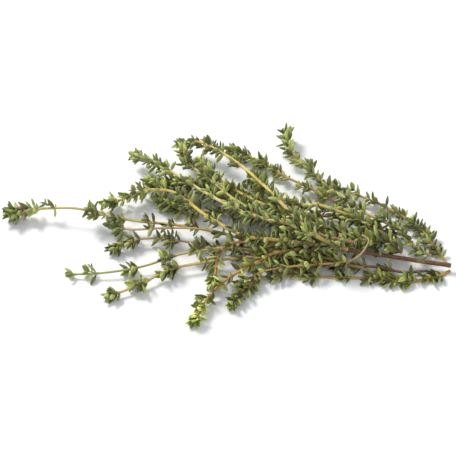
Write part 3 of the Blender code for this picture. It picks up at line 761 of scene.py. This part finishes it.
def placed(heap, owner, stem, from_tip, turn, lean, roll, length, recurve, ball):
    """The first of a leaf's tries that has room, or none."""
    tries = TRIES[:FINE_TRIES] if ball == FINE_BALL else TRIES
    for more_turn, more_lean, share in tries:
        leaf = leaf_at(
            stem, from_tip, math.radians(turn + more_turn), math.radians(lean + more_lean),
            math.radians(roll), length * share, recurve, ball,
        )
        if leaf.lowest() >= FLOOR_GAP and heap.has_room(owner, leaf):
            return leaf
    return None


def shoot_stem(stem, from_tip, turn, lean, length):
    """A short side shoot in the corner between a leaf and the stem, bending towards the stem's tip."""
    root, toward, out = stem.outward(from_tip, turn)
    first = math.cos(lean) * toward + math.sin(lean) * out
    middle = root + SHOOT_PARTS[0] * length * first
    end = middle + SHOOT_PARTS[1] * length * unit(first + SHOOT_BEND * toward)
    end[2] = max(end[2], SHOOT_LOWEST)
    return Stem((root, middle, end), SHOOT_THICK, SHOOT_THIN, stem.twist, np.zeros((0, 4)))


def shoot_leaves(draw, length, size):
    """The leaves of a side shoot: a small open rosette at its end and a pair halfway down."""
    first = draw.uniform(0, 90)
    for quarter in range(4):
        lean, share = SHOOT_END_LEAF.drawn(draw)
        roll = draw.uniform(-SHOOT_ROLL, SHOOT_ROLL)
        recurve = draw.uniform(*SHOOT_END_LEAF.recurve)
        yield LAST_ROOT, first + 90 * quarter, lean, roll, size * share, recurve
    if length > PAIR_SHOOT:
        for quarter in (0.5, 2.5):
            lean, share = SHOOT_PAIR_LEAF.drawn(draw)
            from_tip = length * draw.uniform(*SHOOT_PAIR_AT)
            roll = draw.uniform(-SHOOT_ROLL, SHOOT_ROLL)
            recurve = draw.uniform(*SHOOT_PAIR_LEAF.recurve)
            yield from_tip, first + 90 * quarter, lean, roll, size * share, recurve


def tip_rosette(sprig, draw):
    """The young leaves that crowd the very tip of a stem."""
    for number in range(sprig.look.tip_leaves):
        turn = ROSETTE_TURN * number + draw.uniform(-ROSETTE_SWAY, ROSETTE_SWAY)
        lean = ROSETTE_LEANS[0] + ROSETTE_LEANS[1] * number + draw.uniform(-ROSETTE_NOD, ROSETTE_NOD)
        size = draw.uniform(*ROSETTE_SIZE) + ROSETTE_GROWTH * number
        roll = draw.uniform(-SHOOT_ROLL, SHOOT_ROLL)
        yield LAST_ROOT + ROSETTE_STEP * number, turn, lean, roll, size, draw.uniform(*ROSETTE_RECURVE)


class Grown:
    """What has grown of one sprig so far: its stems, its leaves and its side shoots."""

    def __init__(self, owner, sprig, heap):
        laid = heap.stems[:, :4]
        self.owner = owner
        self.sprig = sprig
        self.heap = heap
        self.stems = [Stem(sprig.route, sprig.thick, sprig.thin, sprig.twist, laid)]
        if sprig.side:
            self.stems.append(Stem(sprig.side, SIDE_HALF, sprig.thin, sprig.twist, laid))
        for stem in self.stems:
            heap.add_stem(owner, stem.balls())
        self.leaves = []
        self.shoots = []

    def keep(self, stem, wanted, ball, bud=0.0, from_tip=None):
        """The leaf, if it has room: it is kept with its distance from the tip and whether it is in bud."""
        leaf = placed(self.heap, self.owner, stem, *wanted, ball)
        if leaf:
            self.heap.add_leaf(self.owner, leaf)
            self.leaves.append((leaf, wanted[0] if from_tip is None else from_tip, bud))
        return leaf


def grow_fine_bundle():
    """The part's own stems and leaves, then the shoots and small leaves that only the picture shows."""
    heap = Heap()
    bundle = [Grown(owner, sprig, heap) for owner, sprig in enumerate(SPRIGS)]
    refused = []
    for grown in bundle:
        for along_stem, stem in enumerate(grown.stems):
            for number, tuft in enumerate(stem_tufts(grown.sprig, along_stem, stem)):
                heap.look_round(stem.at(tuft)[0])
                for wanted in tuft_leaves(grown.sprig, number, tuft, along_stem):
                    if not grown.keep(stem, wanted, LEAF_BALL):
                        refused.append((grown, stem, wanted))
    # From here on every leaf is thin, and those that found no room as thick ones try again.
    heap.leaves[:, 3] = FINE_BALL
    for grown, stem, wanted in refused:
        heap.look_round(stem.at(wanted[0])[0])
        grown.keep(stem, wanted, FINE_BALL)
    for grown in bundle:
        for along_stem, stem in enumerate(grown.stems):
            grow_tip(grown, stem, along_stem)
            for number, tuft in enumerate(stem_tufts(grown.sprig, along_stem, stem)):
                grow_shoots(grown, stem, number, tuft, along_stem)
    for grown in bundle:
        for number, tuft in enumerate(fill_places(grown.sprig, grown.stems[0])):
            grow_shoots(grown, grown.stems[0], FILL_NUMBER + number, tuft, 0)
    return bundle


def larger(sprig, from_tip):
    """How much larger the thin leaves are here: only near the tip, or only towards the cut end."""
    if sprig.look is LARGE_LEAF_LOOK:
        return sprig.look.size if from_tip > LARGE_BACK else 1.0
    if from_tip > sprig.look.fresh:
        return FRESH_SIZE
    return sprig.look.size if from_tip < LARGE_REACH else 1.0


def fill_places(sprig, stem):
    """Distances back from the tip of the extra tufts that make the middle of the heap dense."""
    listed = stem_tufts(sprig, 0, stem)
    places = []
    at = FILL_BARE
    while at < stem.length - FILL_BARE:
        from_tip = stem.length - at
        x = stem.at(from_tip)[0][0]
        wanted = any(first < x < last for first, last in sprig.fill)
        if wanted and all(abs(from_tip - d) > FILL_CLEAR for d in listed):
            places.append(from_tip)
            at += FILL_PITCH
        at += FILL_STEP
    return places


def grow_tip(grown, stem, along_stem):
    """The rosette at the tip of a stem."""
    sprig = grown.sprig
    grown.heap.look_round(stem.places[-1])
    draw = random.Random(sprig.seed * TIP_SEED + along_stem)
    for root, turn, lean, roll, size, recurve in tip_rosette(sprig, draw):
        length = sprig.leaf * larger(sprig, root) * size * LEAF_LENGTH
        bud = float(sprig.name == BUDDED and along_stem == 0 and size < BUD_SIZE)
        grown.keep(stem, (root, turn, lean, roll, length, recurve), FINE_BALL, bud)


def grow_shoots(grown, stem, number, tuft, along_stem):
    """Two side shoots and two single small leaves where a tuft sits, as far as there is room."""
    sprig, look = grown.sprig, grown.sprig.look
    draw = random.Random(sprig.seed * SHOOT_SEEDS[0] + number * SHOOT_SEEDS[1] + along_stem)
    place = stem.at(tuft)[0]
    grown.heap.look_round(place)
    young = youth_at(tuft)
    turn = number * 90
    near_tip = tuft < LARGE_REACH and look.tip_shoots is not None
    shoots_share = look.tip_shoots if near_tip else look.shoots
    lengths = SHOOT_LENGTH
    if number >= FILL_NUMBER:
        shoots_share = FILL_SHARE
        lengths = LONG_SHOOTS if place[0] < LONG_LEFT and place[1] > LONG_BEHIND else FILL_SHOOTS
    reach = look.reach if REACHING[0] < tuft < REACHING[1] else 1.0
    for half_turn in (0, 180):
        wants = draw.random() < shoots_share
        lean = draw.uniform(*SHOOT_LEAN)
        length = draw.uniform(*lengths) * reach * (1 - SHOOT_YOUNG * young)
        around = turn + half_turn + draw.uniform(-SHOOT_SWAY, SHOOT_SWAY)
        size = draw.uniform(*SHOOT_SIZE) * sprig.leaf * larger(sprig, tuft)
        leaves = list(shoot_leaves(draw, length, size))
        if not wants:
            continue
        root = max(LAST_ROOT, tuft - SHOOT_AHEAD)
        shoot = shoot_stem(stem, root, math.radians(around), math.radians(lean), length)
        bud = float(sprig.name == BUDDED and along_stem == 0 and tuft in BUD_TUFTS)
        kept = [
            grown.keep(shoot, (*wanted[:4], wanted[4] * LEAF_LENGTH, wanted[5]), FINE_BALL, bud, tuft)
            for wanted in leaves
        ]
        if any(kept):
            grown.shoots.append(shoot)
    for quarter_turn in (90, 270):
        lean, size = SINGLE_LEAF.drawn(draw, young)
        length = size * sprig.leaf * larger(sprig, tuft) * LEAF_LENGTH
        roll = draw.uniform(-ROLL, ROLL)
        root = tuft + draw.uniform(*SINGLE_BACK)
        if draw.random() < shoots_share:
            wanted = (root, turn + quarter_turn, lean, roll, length, SINGLE_RECURVE)
            grown.keep(stem, wanted, FINE_BALL, from_tip=tuft)


def set_inputs(tree, node, inputs):
    """Each input set to a value, or linked to a socket, a Value or a node's first output."""
    for name, value in inputs.items():
        if isinstance(value, Value):
            value = value.socket
        if isinstance(value, bpy.types.Node):
            value = value.outputs[0]
        if isinstance(value, bpy.types.NodeSocket):
            tree.links.new(value, node.inputs[name])
        else:
            node.inputs[name].default_value = value


def add_node(tree, kind, inputs=None, **settings):
    """A node with its settings and inputs."""
    made = tree.nodes.new(kind)
    for name, value in settings.items():
        setattr(made, name, value)
    set_inputs(tree, made, inputs or {})
    return made


def new_geometry_tree(name, sizes):
    """A geometry tree, the identifiers of its named inputs, and the sockets that give them inside it."""
    tree = bpy.data.node_groups.new(name, "GeometryNodeTree")
    tree.interface.new_socket("Geometry", in_out="INPUT", socket_type="NodeSocketGeometry")
    sockets = {}
    for label, kind in sizes:
        socket = tree.interface.new_socket(label, in_out="INPUT", socket_type="NodeSocket" + kind)
        sockets[label] = socket.identifier
    tree.interface.new_socket("Geometry", in_out="OUTPUT", socket_type="NodeSocketGeometry")
    return tree, sockets, add_node(tree, "NodeGroupInput").outputs


def named(tree, name, kind="FLOAT"):
    return add_node(tree, "GeometryNodeInputNamedAttribute", {"Name": name}, data_type=kind)


def stored(tree, geometry, name, value, kind):
    return add_node(tree, "GeometryNodeStoreNamedAttribute", {
        "Geometry": geometry, "Name": name, "Value": value,
    }, data_type=kind, domain="POINT")


def end_tree(tree, geometry, finish):
    """Everything made real and given its material at the tree's output."""
    real = add_node(tree, "GeometryNodeRealizeInstances", {"Geometry": geometry})
    finished = add_node(tree, "GeometryNodeSetMaterial", {"Geometry": real, "Material": finish})
    add_node(tree, "NodeGroupOutput", {"Geometry": finished})


def leaf_tree():
    """Sets one of the leaf shapes on every point, turned and sized by the point."""
    tree, sockets, given = new_geometry_tree("leaves_on_points", (
        ("Leaf shapes", "Collection"), ("Leaf size", "Float"), ("Leaf finish", "Material"),
    ))
    shapes = add_node(tree, "GeometryNodeCollectionInfo", {
        "Collection": given["Leaf shapes"], "Separate Children": True, "Reset Children": True,
    })
    size = add_node(tree, "ShaderNodeMath", {
        0: named(tree, "length"), 1: given["Leaf size"],
    }, operation="MULTIPLY")
    placed_leaves = add_node(tree, "GeometryNodeInstanceOnPoints", {
        "Points": given["Geometry"],
        "Instance": shapes,
        "Pick Instance": True,
        "Instance Index": named(tree, "shape", "INT"),
        "Rotation": named(tree, "turned", "FLOAT_VECTOR"),
        "Scale": size,
    })
    end_tree(tree, placed_leaves, given["Leaf finish"])
    return tree, sockets


def stem_tree():
    """A square stem with rounded corners along each line, and short hairs on it."""
    tree, sockets, given = new_geometry_tree("stems_on_lines", (
        ("Corner rounding", "Float"), ("Hairs on a square metre", "Float"), ("Hair length", "Float"),
        ("Hair thickness", "Float"), ("Seed", "Int"), ("Stem finish", "Material"),
    ))
    curve = add_node(tree, "GeometryNodeMeshToCurve", {"Mesh": given["Geometry"]})
    upright = add_node(tree, "GeometryNodeSetCurveNormal", {"Curve": curve}, mode="Z_UP")
    tilted = add_node(tree, "GeometryNodeSetCurveTilt", {"Curve": upright, "Tilt": named(tree, "tilt")})
    square = add_node(tree, "GeometryNodeCurvePrimitiveQuadrilateral", {"Width": 2.0, "Height": 2.0})
    rounded = add_node(tree, "GeometryNodeFilletCurve", {
        "Curve": square, "Radius": given["Corner rounding"], "Count": CORNER_STEPS,
    }, mode="POLY")
    place = add_node(tree, "GeometryNodeInputPosition")
    tube = add_node(tree, "GeometryNodeCurveToMesh", {
        "Curve": tilted,
        "Profile Curve": stored(tree, rounded, "ring", place, "FLOAT_VECTOR"),
        "Scale": named(tree, "half"),
        "Fill Caps": True,
    })
    spots = add_node(tree, "GeometryNodeDistributePointsOnFaces", {
        "Mesh": tube, "Density": given["Hairs on a square metre"], "Seed": given["Seed"],
    })
    hair = add_node(tree, "GeometryNodeMeshCone", {
        "Vertices": 3,
        "Radius Bottom": given["Hair thickness"],
        "Radius Top": 0.0,
        "Depth": given["Hair length"],
    })
    swing = add_node(tree, "FunctionNodeRandomValue", {
        "Min": HAIR_SWING[0], "Max": HAIR_SWING[1], "Seed": given["Seed"],
    }, data_type="FLOAT_VECTOR")
    turned = add_node(tree, "FunctionNodeRotateRotation", {
        "Rotation": spots.outputs["Rotation"], "Rotate By": swing,
    }, rotation_space="LOCAL")
    hairs = add_node(tree, "GeometryNodeInstanceOnPoints", {
        "Points": spots, "Instance": hair, "Rotation": turned,
    })
    real_hairs = add_node(tree, "GeometryNodeRealizeInstances", {"Geometry": hairs})
    marked_hairs = stored(tree, real_hairs, "hair", 1.0, "FLOAT")
    joined = add_node(tree, "GeometryNodeJoinGeometry", {"Geometry": marked_hairs})
    set_inputs(tree, joined, {"Geometry": add_node(tree, "GeometryNodeSetShadeSmooth", {"Geometry": tube})})
    end_tree(tree, joined, given["Stem finish"])
    return tree, sockets


def linked(name, data, collection=None):
    """A new object in the scene, or in another collection."""
    made = bpy.data.objects.new(name, data)
    (collection or bpy.context.scene.collection).objects.link(made)
    return made


def leaf_shape(number, collection):
    """A thin closed blade one unit long: folded along its midrib, with margins that roll under."""
    draw = random.Random(SHAPE_SEED + number)
    recurve = LEAF_RECURVES[number // FORMS]
    fold = draw.uniform(*SHAPE_FOLD)
    width = draw.uniform(*SHAPE_WIDTH)
    bend = draw.uniform(-SHAPE_BEND, SHAPE_BEND)
    twist = draw.uniform(-SHAPE_TWIST, SHAPE_TWIST)
    vertices, faces, under, blade_uv = [], [], [], []
    for share, breadth in LEAF_STATIONS:
        half = 0.5 * LEAF_WIDTH * width * breadth
        for aside, rise, drop in LEAF_RING:
            x = half * aside
            z = breadth * (LEAF_MARGIN * rise - fold * (1 - abs(aside))) - drop * LEAF_THICK
            turn = twist * share
            vertices.append((
                x * math.cos(turn) + z * math.sin(turn) + bend * share**2,
                share,
                z * math.cos(turn) - x * math.sin(turn) - recurve * share**2,
            ))
            under.append(1.0 if drop > 0.5 else 0.0)
            blade_uv.append((0.5 + 0.5 * aside, share))
    tip = len(vertices)
    vertices.append((bend, 1.0, -recurve - 0.5 * LEAF_THICK))
    under.append(0.5)
    blade_uv.append((0.5, 1.0))
    count = len(LEAF_RING)
    for k in range(len(LEAF_STATIONS) - 1):
        for j in range(count):
            a, b = count * k + j, count * k + (j + 1) % count
            faces.append((a, b, b + count, a + count))
    faces.append(tuple(reversed(range(count))))
    last = count * (len(LEAF_STATIONS) - 1)
    faces += [(last + j, last + (j + 1) % count, tip) for j in range(count)]
    mesh = bpy.data.meshes.new(f"leaf_shape_{number}")
    mesh.from_pydata(vertices, [], faces)
    mesh.shade_smooth()
    mesh.attributes.new("under", "FLOAT", "POINT").data.foreach_set("value", under)
    uv = mesh.uv_layers.new(name="blade")
    for loop in mesh.loops:
        uv.data[loop.index].uv = blade_uv[loop.vertex_index]
    return linked(mesh.name, mesh, collection)


def grown_mesh(name, points, edges, attributes, tree, inputs):
    """A plain mesh object made by a geometry tree from points and edges that carry attributes."""
    mesh = bpy.data.meshes.new(name)
    shifted = np.array(points, float) + (*PLAN_SHIFT, 0.0)
    mesh.from_pydata((shifted * MM).tolist(), edges, [])
    for label, kind, values in attributes:
        field = {"FLOAT_VECTOR": "vector", "FLOAT_COLOR": "color"}.get(kind, "value")
        mesh.attributes.new(label, kind, "POINT").data.foreach_set(field, np.asarray(values).ravel())
    seed = linked(name, mesh)
    grower = seed.modifiers.new("grow", "NODES")
    grower.node_group = tree[0]
    for label, value in inputs.items():
        grower[tree[1][label]] = value
    graph = bpy.context.evaluated_depsgraph_get()
    made = bpy.data.meshes.new_from_object(seed.evaluated_get(graph))
    seed.modifiers.remove(grower)
    seed.data = made
    made.name = name
    for vertex in made.vertices:
        vertex.co.z = max(vertex.co.z, 0.0)
    for spent in SPENT_ATTRIBUTES:
        if spent in made.attributes:
            made.attributes.remove(made.attributes[spent])
    return seed


def leaves_of(grown, tree, shapes, finish):
    """The piece with every thin leaf of a sprig."""
    sprig, look = grown.sprig, grown.sprig.look
    draw = random.Random(sprig.seed * PAINT_SEED)
    rows = []
    for leaf, from_tip, bud in grown.leaves:
        axes = Matrix(np.column_stack([leaf.across, leaf.along, leaf.face]).tolist())
        nearest = min(range(len(LEAF_RECURVES)), key=lambda k: abs(LEAF_RECURVES[k] - leaf.recurve))
        age = min(1.0, from_tip / AGE_REACH) * draw.uniform(*AGE_SPREAD)
        age = 1 - (1 - age) * look.youth
        if from_tip > look.fresh:
            age = draw.uniform(*FRESH_AGE)
        rows.append((
            leaf.root, tuple(axes.to_euler()), leaf.length * MM, nearest * FORMS + draw.randrange(FORMS),
            age, draw.random(), bud, look.bright - look.dark_tip * (from_tip < DARK_REACH), look.warm,
        ))
    roots, *columns = zip(*rows)
    attributes = [(name, kind, values) for (name, kind), values in zip(LEAF_ATTRIBUTES, columns)]
    inputs = {"Leaf shapes": shapes, "Leaf size": FINE_LEAF_SIZE, "Leaf finish": finish}
    return grown_mesh(sprig.name + "_leaves", roots, [], attributes, tree, inputs)


def stem_line(stem, tufts, colours, first_along, slim=1.0):
    """Places, half widths and colours every half millimetre along a stem, with a swelling at each tuft."""
    count = max(4, round(stem.length / FINE_STEP))
    along = np.linspace(0.0, stem.length, count)
    places = np.column_stack([np.interp(along, stem.along, stem.places[:, k]) for k in range(3)])
    halves = np.interp(along, stem.along, stem.halves)
    knot = np.zeros(count)
    for tuft in tufts:
        knot = np.maximum(knot, np.exp(-(((stem.length - tuft - along) / KNOT_REACH) ** 2)))
    places[:, 2] -= halves * (1 - slim)
    halves = halves * slim * (1 + KNOT_SWELL * knot)
    places[:, 2] = np.maximum(places[:, 2], halves)
    share = along / stem.length
    paint = np.column_stack([np.interp(share, (0.0, 0.5, 1.0), np.array(colours)[:, k]) for k in range(3)])
    return places, halves, knot, paint, along + first_along


def stems_of(grown, tree, finish):
    """The piece with a sprig's stems and side shoots."""
    sprig, look = grown.sprig, grown.sprig.look
    lines = []
    for along_stem, stem in enumerate(grown.stems):
        tufts = stem_tufts(sprig, along_stem, stem)
        colours = (look.tip, SIDE_COLOUR, SIDE_COLOUR) if along_stem else (look.cut, look.middle, look.tip)
        lines.append(stem_line(stem, tufts, colours, 0.0, look.slim) + (stem.twist,))
    for number, shoot in enumerate(grown.shoots):
        colours = (look.tip, OCHRE, STEM_GREEN)
        lines.append(stem_line(shoot, (), colours, SHOOT_ALONG + SHOOT_ALONG_STEP * number) + (0.0,))
    edges, first = [], 0
    for line in lines:
        count = len(line[0])
        edges += [(first + i, first + i + 1) for i in range(count - 1)]
        first += count
    stack = [np.concatenate([line[k] for line in lines]) for k in range(5)]
    tilt = np.concatenate([np.full(len(line[0]), line[5]) for line in lines])
    colour = np.column_stack([stack[3], np.ones(len(stack[3]))])
    return grown_mesh(sprig.name + "_stem", stack[0], edges, (
        ("half", "FLOAT", stack[1] * MM),
        ("tilt", "FLOAT", tilt),
        ("knot", "FLOAT", stack[2]),
        ("paint", "FLOAT_COLOR", colour),
        ("along", "FLOAT", stack[4]),
    ), tree, {
        "Corner rounding": CORNER_ROUNDING,
        "Hairs on a square metre": HAIR_DENSITY,
        "Hair length": HAIR_LENGTH * MM,
        "Hair thickness": HAIR_THICK * MM,
        "Seed": sprig.seed,
        "Stem finish": finish,
    })


class Value:
    """A shader number or colour that is worked with like a number: each sign adds a Math node."""

    def __init__(self, tree, socket):
        self.tree = tree
        self.socket = socket

    def maths(self, operation, a, b=0.0):
        node = add_node(self.tree, "ShaderNodeMath", {0: a, 1: b}, operation=operation)
        return Value(self.tree, node.outputs[0])

    def __mul__(self, other):
        return self.maths("MULTIPLY", self, other)

    def __add__(self, other):
        return self.maths("ADD", self, other)

    def __sub__(self, other):
        return self.maths("SUBTRACT", self, other)

    def __rsub__(self, other):
        return self.maths("SUBTRACT", other, self)

    def __abs__(self):
        return self.maths("ABSOLUTE", self)

    def fraction(self):
        return self.maths("FRACT", self)

    def clamped(self):
        """The last sum or product, kept between 0 and 1."""
        self.socket.node.use_clamp = True
        return self


class Finish:
    """A new material, with short ways to add the nodes before its Principled shader."""

    def __init__(self, name):
        self.material = bpy.data.materials.new(name)
        self.material.use_nodes = True
        self.tree = self.material.node_tree

    def node(self, kind, inputs=None, output=0, **settings):
        return Value(self.tree, add_node(self.tree, kind, inputs, **settings).outputs[output])

    def place(self):
        return self.node("ShaderNodeTexCoord", output="Object")

    def attribute(self, name, output="Fac"):
        return self.node("ShaderNodeAttribute", output=output, attribute_name=name)

    def ramp(self, value, low, high, to_low=0.0, to_high=1.0):
        """A smooth step between two values."""
        return self.node("ShaderNodeMapRange", {
            "Value": value, "From Min": low, "From Max": high, "To Min": to_low, "To Max": to_high,
        }, interpolation_type="SMOOTHSTEP")

    def mix(self, share, colour, other):
        """One colour with a share of another in it."""
        a, b = (c if isinstance(c, Value) else (*c, 1.0) for c in (colour, other))
        return self.node("ShaderNodeMix", {0: share, 6: a, 7: b}, 2, data_type="RGBA")

    def scaled(self, colour, factor):
        return self.node("ShaderNodeVectorMath", {0: colour, "Scale": factor}, operation="SCALE")

    def noise(self, vector, scale, detail=2.0, roughness=0.5):
        return self.node("ShaderNodeTexNoise", {
            "Vector": vector, "Scale": scale, "Detail": detail, "Roughness": roughness,
        }, "Fac")

    def shaded(self, colour, rough, specular, bump=None):
        """The material with these inputs of its shader; a bump is a height, a strength and a distance."""
        inputs = {"Base Color": colour, "Roughness": rough, "Specular IOR Level": specular}
        if bump:
            bumped = dict(zip(("Height", "Strength", "Distance"), bump))
            inputs["Normal"] = self.node("ShaderNodeBump", bumped)
        set_inputs(self.tree, self.tree.nodes["Principled BSDF"], inputs)
        return self.material


def leaf_finish():
    """Matt leaves: dark above, greyer below, with a midrib, side veins, speckles and yellow-green youth."""
    coat = Finish("thyme_leaf")
    place = coat.place()
    uv = coat.node("ShaderNodeUVMap", uv_map="blade")
    aside = abs(coat.node("ShaderNodeSeparateXYZ", {0: uv}, "X") - 0.5) * 2.0
    along = coat.node("ShaderNodeSeparateXYZ", {0: uv}, "Y")
    under, age, tint = (coat.attribute(name) for name in ("under", "age", "tint"))
    midrib = coat.ramp(aside, *MIDRIB_RAMP)
    slanted = along * VEIN_NUMBER - aside * VEIN_SLANT
    ridge = abs(slanted.fraction() - 0.5)
    side_vein = coat.ramp(ridge, *VEIN_RAMP) * coat.ramp(aside, *VEIN_FADE_RAMP)
    vein = midrib.maths("MAXIMUM", midrib, side_vein * SIDE_VEIN_SHARE)
    patches = coat.noise(place, *LEAF_PATCHES)
    speckles = coat.noise(place, *LEAF_SPECKLES)
    glands = coat.node("ShaderNodeTexVoronoi", {"Vector": place, "Scale": LEAF_GLANDS}, "Distance")

    depth = (tint * TINT_SHARE + patches * PATCH_SHARE).clamped()
    colour = coat.mix(coat.ramp(depth, *DEPTH_RAMP), DARK_LEAF, MID_LEAF)
    colour = coat.mix((coat.attribute("warm") * WARM_SHARE).clamped(), colour, WARM_LEAF)
    colour = coat.mix((1.0 - age) * YOUNG_SHARE, colour, YOUNG_LEAF)
    colour = coat.mix(coat.ramp(speckles, *SPECKLE_RAMP) * SPECKLE_SHARE, colour, PALE_VEIN)
    colour = coat.mix(vein * VEIN_SHARE, colour, PALE_VEIN)
    # Pale margins: partly the leaf's own paler rolled edge, partly a painted highlight along the edges.
    colour = coat.mix(coat.ramp(aside, *MARGIN_AND_HIGHLIGHT_RAMP), colour, PALE_MARGIN_AND_PAINTED_HIGHLIGHT)
    colour = coat.mix(coat.ramp(along, *PETIOLE_RAMP), colour, PETIOLE)
    colour = coat.mix(under * UNDER_SHARE, colour, UNDERSIDE)
    # Each leaf's brightness is partly random tone and partly painted light and shade: some leaves are painted
    # as if lit, others as if shaded.
    leaf_tone_and_painted_light = coat.ramp((tint * LEAF_TONE_AND_PAINTED_LIGHT_DRAW).fraction(), *LEAF_TONE_AND_PAINTED_LIGHT_RAMP)
    tone_and_painted_light = coat.ramp(coat.attribute("bright"), *SPRIG_LIGHT_RAMP) * leaf_tone_and_painted_light
    spoiled = coat.ramp(tint, *DRY_TINT_RAMP) * coat.ramp(patches, *DRY_PATCH_RAMP)
    colour = coat.mix(spoiled * DRY_SHARE, coat.scaled(colour, tone_and_painted_light), DRY_LEAF)
    colour = coat.mix(coat.attribute("bud") * BUD_SHARE, colour, BUD_PINK)

    rough = (coat.ramp(speckles, *LEAF_ROUGH_RAMP) + under * UNDER_ROUGH).clamped()
    return coat.shaded(colour, rough, LEAF_SPECULAR, (glands * GLAND_HEIGHT - vein, *LEAF_BUMP))


def stem_finish():
    """A fibrous stem in its own colours, darker at the knots, with reddish and green patches."""
    coat = Finish("thyme_stem")
    place = coat.place()
    along = coat.attribute("along")
    stretched = coat.node("ShaderNodeVectorMath", {
        0: coat.attribute("ring", "Vector"),
        1: coat.node("ShaderNodeCombineXYZ", {"Z": along * FIBRE_STRETCH}),
    }, operation="ADD")
    fibres = coat.noise(stretched, *FIBRES)
    colour = coat.attribute("paint", "Color")
    colour = coat.mix(coat.ramp(coat.noise(place, RUST_PATCHES), *RUST_RAMP), colour, RUSTY)
    green = coat.ramp(coat.noise(place, GREEN_PATCHES), *GREEN_RAMP)
    colour = coat.scaled(coat.mix(green, colour, STEM_GREEN), coat.ramp(fibres, *FIBRE_LIGHT_RAMP))
    colour = coat.mix(coat.attribute("knot") * KNOT_SHARE, colour, KNOT_BROWN)
    colour = coat.mix(coat.ramp(along, *CUT_RAMP), colour, CUT_WOOD)
    colour = coat.mix(coat.attribute("hair") * HAIR_SHARE, colour, HAIR_WHITE)
    rough = coat.ramp(fibres, *STEM_ROUGH_RAMP)
    return coat.shaded(colour, rough, STEM_SPECULAR, (fibres, *STEM_BUMP))


def floor_and_light():
    """A pale floor, a soft key light from behind on the left, and an even pale sky."""
    scene = bpy.context.scene
    coat = Finish("pale_floor")
    mottled = coat.mix(coat.noise(coat.place(), FLOOR_MOTTLE), FLOOR_WHITE, FLOOR_SHADE)
    mesh = bpy.data.meshes.new("floor")
    r = FLOOR_REACH
    mesh.from_pydata([(-r, -r, 0), (r, -r, 0), (r, r, 0), (-r, r, 0)], [], [(0, 1, 2, 3)])
    mesh.materials.append(coat.shaded(mottled, FLOOR_ROUGH, FLOOR_SPECULAR))
    floor = linked("floor", mesh)

    world = bpy.data.worlds.new("pale_sky")
    world.use_nodes = True
    sky = world.node_tree.nodes["Background"]
    set_inputs(world.node_tree, sky, {"Color": SKY_COLOUR, "Strength": SKY_STRENGTH})
    scene.world = world

    light = bpy.data.lights.new("key_light", "AREA")
    light.shape = "DISK"
    light.size = KEY_SIZE
    light.energy = KEY_POWER
    light.color = KEY_COLOUR
    key = linked("key_light", light)
    away = np.array(KEY_FROM) / np.linalg.norm(KEY_FROM)
    key.location = tuple(away * KEY_DISTANCE)
    side = unit(np.cross(UP, away))
    key.rotation_euler = Matrix(np.column_stack([side, np.cross(away, side), away]).tolist()).to_euler()
    scene.view_settings.view_transform = "Standard"
    return floor


def photo_camera():
    """The camera that took the photo, as near as it can be told."""
    data = bpy.data.cameras.new("photo_camera")
    data.lens = LENS
    data.sensor_width = SENSOR
    data.clip_end = CAMERA_CLIP
    camera = linked("photo_camera", data)
    elevation = math.radians(CAMERA_ELEVATION)
    target = np.array((PLAN_SHIFT[0] * MM, PLAN_SHIFT[1] * MM, 0.0)) + CAMERA_AIM
    camera.location = target + CAMERA_DISTANCE * np.array((0, -math.cos(elevation), math.sin(elevation)))
    camera.rotation_euler = (math.radians(90) - elevation, 0, 0)
    bpy.context.scene.camera = camera


def main():
    shapes = bpy.data.collections.new("leaf_shapes")
    bpy.context.scene.collection.children.link(shapes)
    made = [leaf_shape(number, shapes) for number in range(len(LEAF_RECURVES) * FORMS)]
    leaf_grower, stem_grower = leaf_tree(), stem_tree()
    leaf_coat, stem_coat = leaf_finish(), stem_finish()
    pieces = []
    for grown in grow_fine_bundle():
        pieces.append((grown.sprig.name, leaves_of(grown, leaf_grower, shapes, leaf_coat)))
        pieces.append((grown.sprig.name, stems_of(grown, stem_grower, stem_coat)))
    for shape in made:
        bpy.data.objects.remove(shape)
    bpy.data.collections.remove(shapes)
    for node, piece in pieces:
        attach(piece, "root")
        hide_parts(node)
    floor_and_light()
    photo_camera()


main()
